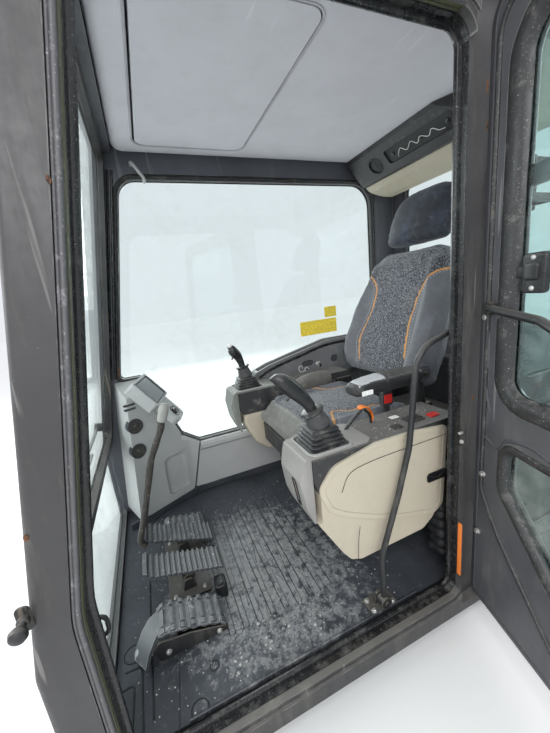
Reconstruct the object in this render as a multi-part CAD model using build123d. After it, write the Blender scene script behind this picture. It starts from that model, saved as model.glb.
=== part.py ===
"""Operator's cab of a tracked excavator, with its door open, as separate sub-parts.

Frame: X forward, Y to the driver's left (door side), Z up, millimetres.
The origin is the centre of the four mounting bolts, on the underside of the base.
"""
import os
from math import atan, cos, degrees, radians, sin

from build123d import *

# Shell: overall sizes
REAR_X = -850.0
FRONT_X = 832.0
HALF_WIDTH = 505.0
SIDE_WALL = 40.0
REAR_WALL = 28.0
BASE_TOP = 78.0
SILL_BOTTOM = 20.0
SILL_TOP = 90.0
ROOF_EDGE_Z = 1640.0
ROOF_TOP_Z = 1700.0
CHIN_Z = 440.0
FRONT_LEAN = 0.175
PILLAR_LEAN = 0.186
CEILING_Z = 1598.0
INNER_Y = HALF_WIDTH - SIDE_WALL
GAP = 0.3
RUNNING_GAP = 5.0
EDGE_ROUND = 14.0
CEILING_ROUND = 32.0
SWAGE = 4.0

# Shell: openings
B_PILLAR_FRONT = -148.0
B_PILLAR_REAR = -290.0
HINGE_POCKET_DEPTH = 24.0
HINGE_POCKET_LOW = 60.0
DOORWAY_TOP = 1500.0
PILLAR_REAR_LOW = 755.0
PILLAR_KNEE_Z = 520.0
WINDOW_TOP = 1517.0
WINDOW_REAR = -673.0
RIGHT_WINDOW_BOTTOM = 345.0
QUARTER_BOTTOM = 700.0
GLASS = 6.0
LIP = 12.0
SEAL_WIDTH = 14.0
SEAL_DEPTH = 6.0

# Mounting bolts
MOUNT_SPACING_X = 1240.0
MOUNT_SPACING_Y = 700.0
MOUNT_HOLE = 18.0
MOUNT_PAD = 120.0

# Roof hatch
HATCH_PIN = 8.0
HATCH_HINGE_Y = (-290.0, 220.0)
HATCH_REAR = 58.0
HATCH_FRONT = 500.0
HATCH_Y = (-384.0, 313.0)
HATCH_SWING = 3.0
HATCH_SKIN = 8.0
HATCH_AXIS_X = HATCH_REAR - 34.0
HATCH_AXIS_Z = ROOF_TOP_Z + 12.0

# Door
DOOR_OPEN_ANGLE = 72.0
DOOR_GAP = 7.0
DOOR_THICK = 36.0
DOOR_BEHIND_AXIS = 55.0
DOOR_AXIS_X = -226.0
DOOR_INNER_Y = HALF_WIDTH + DOOR_GAP
DOOR_OUTER_Y = DOOR_INNER_Y + DOOR_THICK
DOOR_AXIS_Y = DOOR_OUTER_Y + 14.0
DOOR_REAR = DOOR_AXIS_X - DOOR_BEHIND_AXIS
DOOR_FRONT_LOW = 790.0
DOOR_BOTTOM = 84.0
DOOR_TOP = DOORWAY_TOP + 32.0
HINGE_PIN = 14.0
HINGE_HEIGHTS = (330.0, 1180.0)

# Floor and pedals
MAT = 12.0
MAT_TOP = BASE_TOP + MAT
MAT_RIB = 4.0
PEDAL_AXIS_X = 585.0
PEDAL_AXIS_Z = 122.0
PEDAL_PIN = 12.0
PEDAL_RIBS = 14

# Seat
PAN_LOW = 396.0
PAN_TOP = 468.0
SEAT_PIN = 16.0
PIN_GAP = 0.1
ARM_PIVOT = (-232.0, 706.0)
CUSHION_FRONT = 190.0
CUSHION_REAR = -262.0
CUSHION_HALF_WIDTH = 238.0
CUSHION_TOP = 585.0
RECLINE_X = -270.0
RECLINE_Z = 560.0
BACK_LEAN = 19.0
BACK_HEIGHT = 606.0
BACK_THICK = 105.0

# Consoles
CONSOLE_TOP = 600.0
CONSOLE_INNER = 262.0
CONSOLE_OUTER = 410.0
CONSOLE_SPLIT = 500.0
CONSOLE_FRONT = 250.0
SKIN = 8.0
STICK_X = 185.0
STICK_Y = 330.0
BOOT_HALF = 58.0

# Monitor
SCREEN_CENTRE = (591.0, -INNER_Y + 92.0, 672.0)
SCREEN_WIDTH = 150.0
SCREEN_HEIGHT = 110.0
SCREEN_YAW = -15.5
SCREEN_TILT = 51.5
TRIM_TAPER = 22.0

# Overhead beam
OVERHEAD_TOP_X = -560.0
OVERHEAD_LOW_X = -625.0

# Gate lock lever
LEVER_Y = 431.0
LEVER_X = 77.0
LEVER_Z = 118.0
LEVER_TUBE = 16.0
LEVER_PIN = 12.0


def front_x(z):
    """Front face of the A-pillar at a height."""
    return FRONT_X - FRONT_LEAN * max(z - CHIN_Z, 0.0)


def doorway_x(z):
    """Rear edge of the A-pillar at a height."""
    return PILLAR_REAR_LOW - 8 - PILLAR_LEAN * max(z - PILLAR_KNEE_Z, 0.0)


def outline(points, radii):
    return make_face(FilletPolyline(*points, radius=radii, close=True))


def side_plate(points, radii, y_low, y_high):
    """Outline in X and Z, made solid between two Y values."""
    plane = Plane(origin=(0, y_high, 0), x_dir=(1, 0, 0), z_dir=(0, -1, 0))
    return extrude(plane * outline(points, radii), amount=y_high - y_low)


def grown(points, radii, amount, y_low, y_high):
    """Side outline widened all round, made solid between two Y values."""
    plane = Plane(origin=(0, y_high, 0), x_dir=(1, 0, 0), z_dir=(0, -1, 0))
    return extrude(plane * offset(outline(points, radii), amount=amount), amount=y_high - y_low)


def cross_plate(points, radii, x_low, x_high):
    """Outline in Y and Z, made solid between two X values."""
    plane = Plane(origin=(x_low, 0, 0), x_dir=(0, 1, 0), z_dir=(1, 0, 0))
    return extrude(plane * outline(points, radii), amount=x_high - x_low)


def plan_plate(points, radii, z_low, z_high):
    """Outline in X and Y, made solid between two Z values."""
    return extrude(Plane.XY.offset(z_low) * outline(points, radii), amount=z_high - z_low)


def block(x, y, z, radius=0.0, axis=Axis.Z):
    """Box between pairs of limits, with the edges along one axis rounded."""
    size = [high - low for low, high in (x, y, z)]
    middle = [(high + low) / 2 for low, high in (x, y, z)]
    solid = Pos(*middle) * Box(*size)
    if radius > 0:
        solid = fillet(solid.edges().filter_by(axis), radius)
    return solid


def rod(start, end, diameter):
    """Round bar between two points."""
    start, end = Vector(*start), Vector(*end)
    plane = Plane(origin=start, z_dir=end - start)
    return extrude(plane * Circle(diameter / 2), amount=(end - start).length)


def bent_bar(points, radii, diameter):
    """Round bar along straight runs joined by arcs."""
    path = FilletPolyline(*points, radius=radii)
    start = Plane(origin=path @ 0, z_dir=path % 0)
    return sweep(start * Circle(diameter / 2), path=path)


def rectangle(x, z):
    return [(x[0], z[0]), (x[1], z[0]), (x[1], z[1]), (x[0], z[1])]


# Outlines of the openings, in X and Z
SIDE_OUTLINE = [
    (REAR_X, SILL_BOTTOM), (FRONT_X, SILL_BOTTOM), (FRONT_X, CHIN_Z),
    (front_x(ROOF_EDGE_Z), ROOF_EDGE_Z), (REAR_X, ROOF_EDGE_Z),
]
SIDE_RADII = [30, 25, 90, 40, 70]
DOORWAY = [
    (B_PILLAR_FRONT, SILL_TOP), (PILLAR_REAR_LOW - 8, SILL_TOP), (doorway_x(PILLAR_KNEE_Z), PILLAR_KNEE_Z),
    (doorway_x(DOORWAY_TOP), DOORWAY_TOP), (B_PILLAR_FRONT, DOORWAY_TOP),
]
DOORWAY_RADII = [35, 60, 250, 90, 45]
TRIM_OUTLINE = [
    (490, MAT_TOP - 20), (796, MAT_TOP - 20), (735, 706), (615, 709), (498, 400), (421, RIGHT_WINDOW_BOTTOM),
]
RIGHT_WINDOW = [
    (WINDOW_REAR, RIGHT_WINDOW_BOTTOM), *reversed(TRIM_OUTLINE[3:]), (doorway_x(709) + 3, 709),
    (doorway_x(WINDOW_TOP), WINDOW_TOP), (WINDOW_REAR, WINDOW_TOP),
]
RIGHT_WINDOW_RADII = [90, 30, 40, 30, 25, 80, 110]
QUARTER_WINDOW = rectangle((-790, -340), (QUARTER_BOTTOM, WINDOW_TOP))
QUARTER_RADII = [60, 60, 60, 90]
REAR_WINDOW = rectangle((-385, 385), (780, 1500))
REAR_WINDOW_RADII = [60, 60, 60, 60]


def base_frame():
    """Floor plate on rails, with four round feet for the rubber mounts."""
    rear, front = REAR_X + REAR_WALL, FRONT_X - 32
    plate = block((rear, front), (-INNER_Y, INNER_Y), (BASE_TOP - 8, BASE_TOP))
    rail_low = 8.0
    rails = block((rear, front), (-INNER_Y, INNER_Y), (rail_low, BASE_TOP - 8))
    bays = [(rear + 50, -330), (-270, 230), (290, front - 50)]
    for low, high in bays:
        rails -= block((low, high), (-INNER_Y + 50, INNER_Y - 50), (rail_low, BASE_TOP - 8), 25)
    frame = plate + rails
    for x in (-MOUNT_SPACING_X / 2, MOUNT_SPACING_X / 2):
        for y in (-MOUNT_SPACING_Y / 2, MOUNT_SPACING_Y / 2):
            frame += Pos(x, y, (BASE_TOP - 8) / 2) * Cylinder(MOUNT_PAD / 2, BASE_TOP - 8)
            frame -= Pos(x, y, BASE_TOP / 2) * Cylinder(MOUNT_HOLE / 2, BASE_TOP + 2)
    return frame


def side_shell(side):
    """Whole side plate with its outer edge rounded."""
    low, high = sorted((side * INNER_Y, side * HALF_WIDTH))
    plate = side_plate(SIDE_OUTLINE, SIDE_RADII, low, high)
    outer = plate.faces().sort_by(Axis.Y)[-1 if side > 0 else 0]
    return fillet(outer.edges(), EDGE_ROUND)


def left_side_frame():
    """Left side: A-pillar, roof rail, B-pillar with its hinge pocket, sill and quarter panel."""
    frame = side_shell(1)
    frame -= side_plate(DOORWAY, DOORWAY_RADII, INNER_Y - 1, HALF_WIDTH + 1)
    frame -= grown(DOORWAY, DOORWAY_RADII, SEAL_WIDTH, HALF_WIDTH - SEAL_DEPTH, HALF_WIDTH + 1)
    frame -= side_plate(QUARTER_WINDOW, QUARTER_RADII, INNER_Y - 1, HALF_WIDTH + 1)
    frame -= grown(QUARTER_WINDOW, QUARTER_RADII, SEAL_WIDTH, INNER_Y - 1, INNER_Y + SEAL_DEPTH)
    pocket = block((B_PILLAR_REAR, B_PILLAR_FRONT + 1),
                   (HALF_WIDTH - HINGE_POCKET_DEPTH, HALF_WIDTH + 1), (HINGE_POCKET_LOW, DOORWAY_TOP + 60))
    field = rectangle((REAR_X + 70, B_PILLAR_REAR - 30), (130, QUARTER_BOTTOM - 70))
    panel = side_plate(field, [40] * 4, INNER_Y - 1, HALF_WIDTH - 16)
    swage = side_plate(field, [40] * 4, HALF_WIDTH - SWAGE, HALF_WIDTH + 1)
    return frame - pocket - panel - swage


def right_side_frame():
    """Right side: one long window above a lower panel."""
    frame = side_shell(-1)
    frame -= side_plate(RIGHT_WINDOW, RIGHT_WINDOW_RADII, -HALF_WIDTH - 1, -INNER_Y + 1)
    frame -= grown(RIGHT_WINDOW, RIGHT_WINDOW_RADII, SEAL_WIDTH, -INNER_Y - SEAL_DEPTH, -INNER_Y + 1)
    for low, high in ((REAR_X + 70, -60), (-20, 700)):
        field = rectangle((low, high), (130, RIGHT_WINDOW_BOTTOM - 50))
        frame -= side_plate(field, [40] * 4, -HALF_WIDTH + 16, -INNER_Y + 1)
        frame -= side_plate(field, [40] * 4, -HALF_WIDTH - 1, -HALF_WIDTH + SWAGE)
    return frame


def rear_panel():
    """Rear wall with its window and two pressed swages below."""
    wall = cross_plate(rectangle((-INNER_Y, INNER_Y), (SILL_BOTTOM, ROOF_EDGE_Z)), [0] * 4, REAR_X, REAR_X + REAR_WALL)
    wall -= cross_plate(REAR_WINDOW, REAR_WINDOW_RADII, REAR_X - 1, REAR_X + REAR_WALL + 1)
    for low, high in ((150, 400), (450, 700)):
        wall -= cross_plate(rectangle((-380, 380), (low, high)), [40] * 4, REAR_X - 1, REAR_X + 8)
    return wall


def front_frame():
    """Three cross bars between the A-pillars: header, chin bar and foot bar."""
    header = [(front_x(ROOF_EDGE_Z) - 4, ROOF_EDGE_Z), (front_x(1600) - 4, 1600),
              (front_x(1600) - 66, 1600), (front_x(ROOF_EDGE_Z) - 60, ROOF_EDGE_Z)]
    chin = rectangle((FRONT_X - 34, FRONT_X - 6), (CHIN_Z - 8, CHIN_Z + 18))
    foot = rectangle((FRONT_X - 32, FRONT_X - 4), (SILL_BOTTOM, 104))
    bars = [side_plate(points, [0] * 4, -INNER_Y, INNER_Y) for points in (header, chin, foot)]
    return Compound(children=bars)


def roof_panel():
    """Shallow pressed roof with a raised, rounded edge, three beads and the hatch opening."""
    front = front_x(ROOF_EDGE_Z)
    skin = 5.0
    plan = rectangle((REAR_X, front), (-HALF_WIDTH, HALF_WIDTH))
    outer = plan_plate(plan, [60] * 4, ROOF_EDGE_Z, ROOF_TOP_Z)
    outer = fillet(outer.faces().sort_by(Axis.Z)[-1].edges(), 32)
    for y in (-240, 0, 240):
        bead = block((REAR_X + 110, HATCH_AXIS_X - 60), (y - 38, y + 38), (ROOF_TOP_Z - 2, ROOF_TOP_Z + 5), 34)
        outer += fillet(bead.faces().sort_by(Axis.Z)[-1].edges(), 4)
    inner_plan = rectangle((REAR_X + 46, front - 46), (-HALF_WIDTH + 46, HALF_WIDTH - 46))
    inner = plan_plate(inner_plan, [40] * 4, ROOF_EDGE_Z - 1, ROOF_TOP_Z - skin)
    hatch = plan_plate(rectangle((HATCH_REAR, HATCH_FRONT), HATCH_Y), [45] * 4, ROOF_EDGE_Z, ROOF_TOP_Z + 1)
    roof = outer - inner - hatch
    for y in HATCH_HINGE_Y:
        roof += block((HATCH_AXIS_X - 28, HATCH_AXIS_X + 12), (y - 20, y + 20), (ROOF_TOP_Z - 1, ROOF_TOP_Z + 8), 6)
        roof += rod((HATCH_AXIS_X, y - 20, HATCH_AXIS_Z), (HATCH_AXIS_X, y + 20, HATCH_AXIS_Z), 16)
        roof -= rod((HATCH_AXIS_X, y - 30, HATCH_AXIS_Z), (HATCH_AXIS_X, y + 30, HATCH_AXIS_Z), HATCH_PIN + 2 * PIN_GAP)
    return roof


def hatch_tray(grow, radius, z_low, z_high):
    """Block under the hatch lid, as seen in the ceiling."""
    x = (HATCH_REAR + 8 - grow, HATCH_FRONT - 24 + grow)
    y = (HATCH_Y[0] + 8 - grow, HATCH_Y[1] - 8 + grow)
    return plan_plate(rectangle(x, y), [radius] * 4, z_low, z_high)


def headliner():
    """Moulded ceiling tray with a rounded, upturned rim, open under the hatch."""
    thick = 8.0
    rear, front = REAR_X + REAR_WALL + 2, front_x(1600) - 68
    tray = plan_plate(rectangle((rear, front), (-INNER_Y + 2, INNER_Y - 2)), [44] * 4, CEILING_Z, ROOF_EDGE_Z)
    tray = fillet(tray.faces().sort_by(Axis.Z)[0].edges(), CEILING_ROUND)
    inner = rectangle((rear + thick, front - thick), (-INNER_Y + 2 + thick, INNER_Y - 2 - thick))
    hollow = plan_plate(inner, [36] * 4, CEILING_Z + thick, ROOF_EDGE_Z + 1)
    tray -= fillet(hollow.faces().sort_by(Axis.Z)[0].edges(), CEILING_ROUND - thick)
    hole = hatch_tray(RUNNING_GAP, 43, CEILING_Z - 1, ROOF_EDGE_Z + 1)
    return tray - hole - Pos(HATCH_SWING, 0, 0) * hole


def roof_hatch():
    """Hatch lid that overlaps the roof, over a tray that fills the ceiling opening."""
    lid_z = ROOF_TOP_Z + RUNNING_GAP
    lid = plan_plate(rectangle((HATCH_REAR - 14, HATCH_FRONT + 22), (HATCH_Y[0] - 22, HATCH_Y[1] + 22)),
                     [60] * 4, lid_z, lid_z + 14)
    lid = fillet(lid.faces().sort_by(Axis.Z)[-1].edges(), 8)
    field = plan_plate(rectangle((HATCH_REAR + 40, HATCH_FRONT - 30), (HATCH_Y[0] + 34, HATCH_Y[1] - 34)),
                       [40] * 4, lid_z + 13, lid_z + 20)
    lid += fillet(field.faces().sort_by(Axis.Z)[-1].edges(), 5)
    tray = hatch_tray(0, 38, CEILING_Z, lid_z) - hatch_tray(-HATCH_SKIN, 30, CEILING_Z + HATCH_SKIN, lid_z)
    hatch = lid + tray
    for y in HATCH_HINGE_Y:
        for low, high in ((y - 31, y - 23), (y + 23, y + 31)):
            hatch += rod((HATCH_AXIS_X, low, HATCH_AXIS_Z), (HATCH_AXIS_X, high, HATCH_AXIS_Z), 16)
            hatch += block((HATCH_AXIS_X, HATCH_REAR), (low, high), (lid_z + 1, lid_z + 13))
        hatch += rod((HATCH_AXIS_X, y - 31, HATCH_AXIS_Z), (HATCH_AXIS_X, y + 31, HATCH_AXIS_Z), HATCH_PIN)
    return hatch


LEAN_ANGLE = degrees(atan(FRONT_LEAN))
SHIELD_PLANE = Plane(origin=(FRONT_X - 26, 0, CHIN_Z + 18), x_dir=(0, 1, 0),
                     z_dir=(cos(radians(LEAN_ANGLE)), 0, sin(radians(LEAN_ANGLE))))
SHIELD_HEIGHT = 1158.0
SHIELD_RAIL = 34.0


def shield_plate(y, height, radius, low, high):
    """Rounded plate in the leaning plane of the windshield."""
    face = outline([(y[0], height[0]), (y[1], height[0]), (y[1], height[1]), (y[0], height[1])], [radius] * 4)
    return extrude(SHIELD_PLANE.offset(low) * face, amount=high - low)


def windshield_frame():
    """Frame of the opening windshield."""
    y = INNER_Y - 1
    frame = shield_plate((-y, y), (2, SHIELD_HEIGHT), 20, -18, 0)
    return frame - shield_plate((-y + SHIELD_RAIL, y - SHIELD_RAIL), (2 + SHIELD_RAIL, SHIELD_HEIGHT - SHIELD_RAIL),
                                30, -19, 1)


def windshield_glass():
    y = INNER_Y - 1 - SHIELD_RAIL + LIP
    return shield_plate((-y, y), (2 + SHIELD_RAIL - LIP, SHIELD_HEIGHT - SHIELD_RAIL + LIP), 30, GAP, GAP + GLASS)


def lower_front_glass():
    return cross_plate(rectangle((-INNER_Y + 4, INNER_Y - 4), (104 + GAP, CHIN_Z - 8 - GAP)), [20] * 4,
                       FRONT_X - 24, FRONT_X - 24 + GLASS)


def pane(points, radii, y):
    """Side window pane that overlaps the edge of its opening inside the wall."""
    plane = Plane(origin=(0, y + GLASS / 2, 0), x_dir=(1, 0, 0), z_dir=(0, -1, 0))
    face = offset(outline(points, radii), amount=-GAP)
    return extrude(plane * face, amount=GLASS)


def right_window():
    return pane(RIGHT_WINDOW, RIGHT_WINDOW_RADII, -HALF_WIDTH + 14)


def left_quarter_window():
    return pane(QUARTER_WINDOW, QUARTER_RADII, HALF_WIDTH - 14)


def rear_window():
    plane = Plane(origin=(REAR_X + 10, 0, 0), x_dir=(0, 1, 0), z_dir=(1, 0, 0))
    return extrude(plane * offset(outline(REAR_WINDOW, REAR_WINDOW_RADII), amount=-GAP), amount=GLASS)


def floor_mat():
    """Rubber mat with ribs across its middle and a raised rim on the right."""
    rear, front = -300.0, FRONT_X - 34
    mat = plan_plate(rectangle((rear, front), (-INNER_Y + 1, INNER_Y - 26)), [10] * 4, BASE_TOP, MAT_TOP)
    ribs = [block((x - 7, x + 7), (-230, 300), (MAT_TOP - 1, MAT_TOP + MAT_RIB), 6)
            for x in [160.0 + 42.0 * index for index in range(9)]]
    rim = [(-60, -INNER_Y + 1), (470, -INNER_Y + 1), (779, -INNER_Y + 141), (773, -INNER_Y + 153),
           (466, -INNER_Y + 14), (-60, -INNER_Y + 14)]
    return mat + ribs + plan_plate(rim, [0] * 6, MAT_TOP - 1, MAT_TOP + 28)


TRIM_FACE = Plane(origin=(475, -INNER_Y + 18, 0), x_dir=(0.9131, 0.4077, 0), z_dir=(0.4077, -0.9131, 0))
MONITOR_PLACE = Pos(*SCREEN_CENTRE) * Rot(0, 0, SCREEN_YAW) * Rot(0, -SCREEN_TILT, 0)


def front_corner_trim():
    """Moulding that leans out of the right wall towards the windshield, around the monitor."""
    wall = Plane(origin=(0, -INNER_Y + GAP, 0), x_dir=(1, 0, 0), z_dir=(0, -1, 0))
    sheet = make_face(Polyline(*TRIM_OUTLINE, close=True))
    body = extrude(wall * sheet, amount=-160, taper=TRIM_TAPER)
    back, tip = -INNER_Y - 15, -INNER_Y + 159
    plan = [(400, back), (790, back), (790, tip), (762, tip), (475, TRIM_FACE.origin.Y), (400, back + 30)]
    body &= plan_plate(plan, [0, 0, 10, 30, 60, 0], MAT_TOP + 30, 720)
    for z, x in ((536, 683), (427, 690)):
        along = (x - TRIM_FACE.origin.X) / TRIM_FACE.x_dir.X
        body -= extrude(TRIM_FACE.offset(-8) * Pos(along, z) * Circle(31), amount=22)
        body += extrude(TRIM_FACE.offset(2) * Pos(along, z) * Circle(11), amount=14)
    for z in (612, 630):
        body -= extrude(TRIM_FACE.offset(-8) * Pos(232, z) * SlotOverall(46, 8), amount=16)
    body -= extrude(TRIM_FACE.offset(-8) * outline(rectangle((34, 140), (150, 336)), [26] * 4), amount=20)
    return body - monitor_housing(GAP)


def monitor_housing(grow):
    """Display box and keypad in place, widened all round by an amount."""
    housing = block((-66 - grow, 68 + grow), (-92 - grow, 90 + grow), (-46 - grow, 2 + grow), 12)
    keypad = block((-176 - grow, -50), (-56 - grow, 58 + grow), (-34 - grow, -4 + grow), 26)
    return MONITOR_PLACE * (housing + keypad)


def monitor():
    """Display with a sunken screen, above a keypad with an oval hollow for its knob."""
    screen = block((-SCREEN_HEIGHT / 2, SCREEN_HEIGHT / 2), (-SCREEN_WIDTH / 2, SCREEN_WIDTH / 2), (-1, 4), 6)
    hollow = extrude(Plane.XY.offset(-8) * Pos(-134, 0) * Ellipse(20, 27), amount=6)
    keys = block((-106, -76), (-44, 46), (-7, 0), 4)
    wall = block((500, 760), (-HALF_WIDTH, -INNER_Y + GAP), (560, 760))
    return monitor_housing(0) - MONITOR_PLACE * (screen + hollow + keys) - wall


def right_wall_trim():
    """Grey trim along the foot of the right wall, with a ledge along its top."""
    wall = -INNER_Y + GAP
    rear, low, high = -240, MAT_TOP + 30, RIGHT_WINDOW_BOTTOM
    (foot_x, foot_z), (seam_high, _) = TRIM_OUTLINE[0], TRIM_OUTLINE[-1]
    seam_high -= 1
    seam_low = seam_high + (foot_x - seam_high) * (high - low) / (high - foot_z) - 1
    trim = side_plate([(rear, low), (seam_low, low), (seam_high, high), (rear, high)], [8, 0, 0, 8], wall, wall + 17)
    share = (seam_low - seam_high) * 40 / (high - low)
    ledge = side_plate([(rear, high - 40), (seam_high + share, high - 40), (seam_high, high), (rear, high)], [0] * 4,
                       wall, wall + 30)
    ledge = chamfer(ledge.edges().filter_by(Axis.X).group_by(Axis.Y)[-1], 11)
    return trim + ledge


def switch_tray():
    """Long curved switch tray below the right window, with the wall panel under it."""
    wall = -INNER_Y + GAP
    profile = [(-560, 560), (60, 560), (118, 590), (118, 640), (40, 668), (-300, 742), (-560, 742)]
    tray = side_plate(profile, [0, 30, 20, 20, 60, 120, 20], wall, -397 - GAP)
    tray += side_plate([(-738, RIGHT_WINDOW_BOTTOM + 1), (60, RIGHT_WINDOW_BOTTOM + 1), (100, 590), (-560, 740),
                        (-738, 740)], [10, 20, 0, 0, 20], wall, wall + 15)
    tray -= side_plate([(98, 624), (36, 655), (-302, 729), (-545, 729), (-545, 800), (98, 800)],
                       [6, 60, 120, 6, 0, 0], wall + 14, wall + 56)
    tray -= side_plate([(-230, 690), (-60, 655), (-60, 720), (-230, 755)], [4] * 4, -442, -412)
    return tray - extrude(Plane.XY.offset(634) * Pos(60, -430) * Ellipse(27, 15), amount=60)


def right_console():
    """Upper housing of the right console."""
    profile = [(-330, CONSOLE_SPLIT + GAP), (236, CONSOLE_SPLIT + GAP), (CONSOLE_FRONT, 540),
               (CONSOLE_FRONT, CONSOLE_TOP), (-330, CONSOLE_TOP)]
    return side_plate(profile, [10, 6, 20, 3, 10], -397, -CONSOLE_INNER)


def right_console_panel():
    """Rounded pod under the right console."""
    profile = [(-330, 300), (128, 300), (190, 352), (238, 452), (234, CONSOLE_SPLIT), (-330, CONSOLE_SPLIT)]
    pod = side_plate(profile, [30, 50, 70, 50, 20, 20], -397, -CONSOLE_INNER - GAP)
    return fillet(pod.faces().sort_by(Axis.Y)[-1].edges(), 16)


def console_bezel(side):
    """Frame around a joystick boot, carried down over the nose of the console."""
    low, high = sorted((side * (CONSOLE_INNER + 2), side * (CONSOLE_OUTER - SKIN - 7)))
    top = CONSOLE_TOP + 7
    rear = CONSOLE_FRONT + GAP
    plan = rectangle((66, CONSOLE_FRONT + 40), (low, high))
    plate = plan_plate(rectangle((66, CONSOLE_FRONT + 12), (low, high)), [18, 3, 3, 18], CONSOLE_TOP + GAP, top)
    nose = side_plate([(rear, 424), (255, 421), (273, 470), (284, 546), (268, 602), (255, top), (rear, top)],
                      [0, 2, 20, 20, 8, 2, 0], low, high)
    bezel = (plate + nose) & plan_plate(plan, [18, 26, 26, 18], 400, top + 1)
    half = BOOT_HALF + GAP
    hole = block((STICK_X - half, STICK_X + half), (side * STICK_Y - half, side * STICK_Y + half),
                 (CONSOLE_TOP - 1, top + 1), 14 + GAP)
    slot = block((263, 300), (344, 358), (464, 540), 5)
    return bezel - hole - slot


def boot(side):
    """Rubber bellows under a joystick."""
    layers = []
    for index in range(5):
        half = BOOT_HALF - 9.0 * index
        z = CONSOLE_TOP + GAP + 11.0 * index
        ring = block((STICK_X - half, STICK_X + half), (side * STICK_Y - half, side * STICK_Y + half), (z, z + 8), 14)
        neck = block((STICK_X - half + 8, STICK_X + half - 8),
                     (side * STICK_Y - half + 8, side * STICK_Y + half - 8), (z + 8, z + 11), 10)
        layers.append(ring + neck)
    return layers[0] + layers[1:]


def joystick(side, reach):
    """Joystick with a grip that bends forward by the reach."""
    y = side * STICK_Y
    stem = rod((STICK_X, y, CONSOLE_TOP + 55 + 2 * GAP), (STICK_X, y, CONSOLE_TOP + 76), 26)
    stem += rod((STICK_X, y, CONSOLE_TOP + 70), (STICK_X + 14, y, CONSOLE_TOP + 104), 26)
    sections = []
    for along, up, lean, length, width in ((12, 98, 22, 20, 19), (28, 130, 30, 24, 22), (50, 163, 38, 25, 22),
                                           (78, 192, 50, 29, 25), (101, 206, 64, 26, 24), (113, 211, 72, 15, 15)):
        angle = radians(lean * reach)
        plane = Plane(origin=(STICK_X + 12 + (along - 12) * reach, y, CONSOLE_TOP + up),
                      x_dir=(cos(angle), 0, -sin(angle)), z_dir=(sin(angle), 0, cos(angle)))
        sections.append(plane * Ellipse(length, width))
    return stem + loft(sections)


def left_console():
    """Upper housing of the left console."""
    profile = [(-250, CONSOLE_SPLIT), (236, CONSOLE_SPLIT), (CONSOLE_FRONT, 540), (CONSOLE_FRONT, CONSOLE_TOP),
               (-250, CONSOLE_TOP)]
    return side_plate(profile, [4, 6, 20, 3, 8], CONSOLE_INNER, CONSOLE_OUTER - SKIN)


def left_console_panel():
    """Moulded side panel with a rounded leading edge, over a boat-shaped pod under the console."""
    pod = [(-190, 420), (-146, 291), (-104, 262), (124, 260), (158, 274), (183, 307), (246, 416), (236, 425),
           (236, CONSOLE_SPLIT), (-190, CONSOLE_SPLIT)]
    panel = side_plate(pod, [20, 30, 30, 20, 20, 30, 5, 3, 4, 4], CONSOLE_INNER, CONSOLE_OUTER - SKIN)
    skin = [(-176, 330), (-140, 307), (-11, 342), (79, 375), (172, 420), (220, 452), (246, 519), (199, 574),
            (68, 601), (-67, 599), (-190, 584)]
    radii = [20, 24, 100, 100, 60, 40, 40, 50, 60, 60, 16]
    panel += side_plate(skin, radii, CONSOLE_OUTER - SKIN, CONSOLE_OUTER)
    return panel - grown(skin, radii, -14, CONSOLE_OUTER - 1.5, CONSOLE_OUTER + 1)


def seat_pedestal():
    """Fixed box under the seat and between the consoles, grooved below its top."""
    profile = [(-740, BASE_TOP), (-330, BASE_TOP), (-330, MAT_TOP + 2), (60, MAT_TOP + 2), (110, 390), (-740, 390)]
    radii = [0, 0, 0, 30, 40, 20]
    pedestal = side_plate(profile, radii, -CONSOLE_INNER, CONSOLE_INNER)
    core = grown(profile, radii, -6, -CONSOLE_INNER + 6, CONSOLE_INNER - 6)
    for z in (306, 326, 346, 366):
        groove = block((-300, 120), (-CONSOLE_INNER - 1, CONSOLE_INNER + 1), (z, z + 8))
        pedestal -= groove - core
    for side in (-1, 1):
        pedestal += block((-330, 90), (side * 165 - 15, side * 165 + 15), (389, PAN_LOW - GAP))
    return pedestal


def storage_box():
    """Box behind the seat, with the seam of its lid."""
    box = block((REAR_X + REAR_WALL + 2, -742), (-INNER_Y + 4, INNER_Y - 4), (BASE_TOP, 620), 10)
    return box - block((-746, -741), (-INNER_Y, INNER_Y), (586, 590))


BACK_PLANE = Plane(origin=(RECLINE_X, 0, RECLINE_Z), x_dir=(0, 1, 0),
                   z_dir=(cos(radians(BACK_LEAN)), 0, sin(radians(BACK_LEAN))))


def back_plate(points, radii, low, high):
    """Outline in the plane of the backrest, across and up, made solid front to back."""
    return extrude(BACK_PLANE.offset(low) * outline(points, radii), amount=high - low)


def seat_slide():
    """Sliding seat frame: pan, side valances, recline brackets and the armrest's upright."""
    pan = block((-300, 170), (-222, 222), (PAN_LOW, PAN_TOP), 30)
    for side in (-1, 1):
        pan += block((-318, -236), (side * 236 - 8, side * 236 + 8), (420, RECLINE_Z + 18), 10, Axis.Y)
        pan += block((-300, -250), (side * 227 - 12, side * 227 + 12), (420, 466))
        pan -= rod((RECLINE_X, side * 220, RECLINE_Z), (RECLINE_X, side * 250, RECLINE_Z), SEAT_PIN + 2 * PIN_GAP)
    x, z = ARM_PIVOT
    pan += side_plate([(-300, 440), (-240, 440), (x + 20, z), (x + 4, z + 22), (x - 24, z)],
                      [8, 8, 16, 8, 16], 242, 254)
    return pan + rod((x, 244, z), (x, 300, z), SEAT_PIN)


def seat_cushion():
    cushion = block((CUSHION_REAR, CUSHION_FRONT), (-CUSHION_HALF_WIDTH + 14, CUSHION_HALF_WIDTH - 14),
                    (PAN_TOP + GAP, CUSHION_TOP), 50)
    return fillet(cushion.faces().sort_by(Axis.Z)[-1].edges(), 26)


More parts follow.
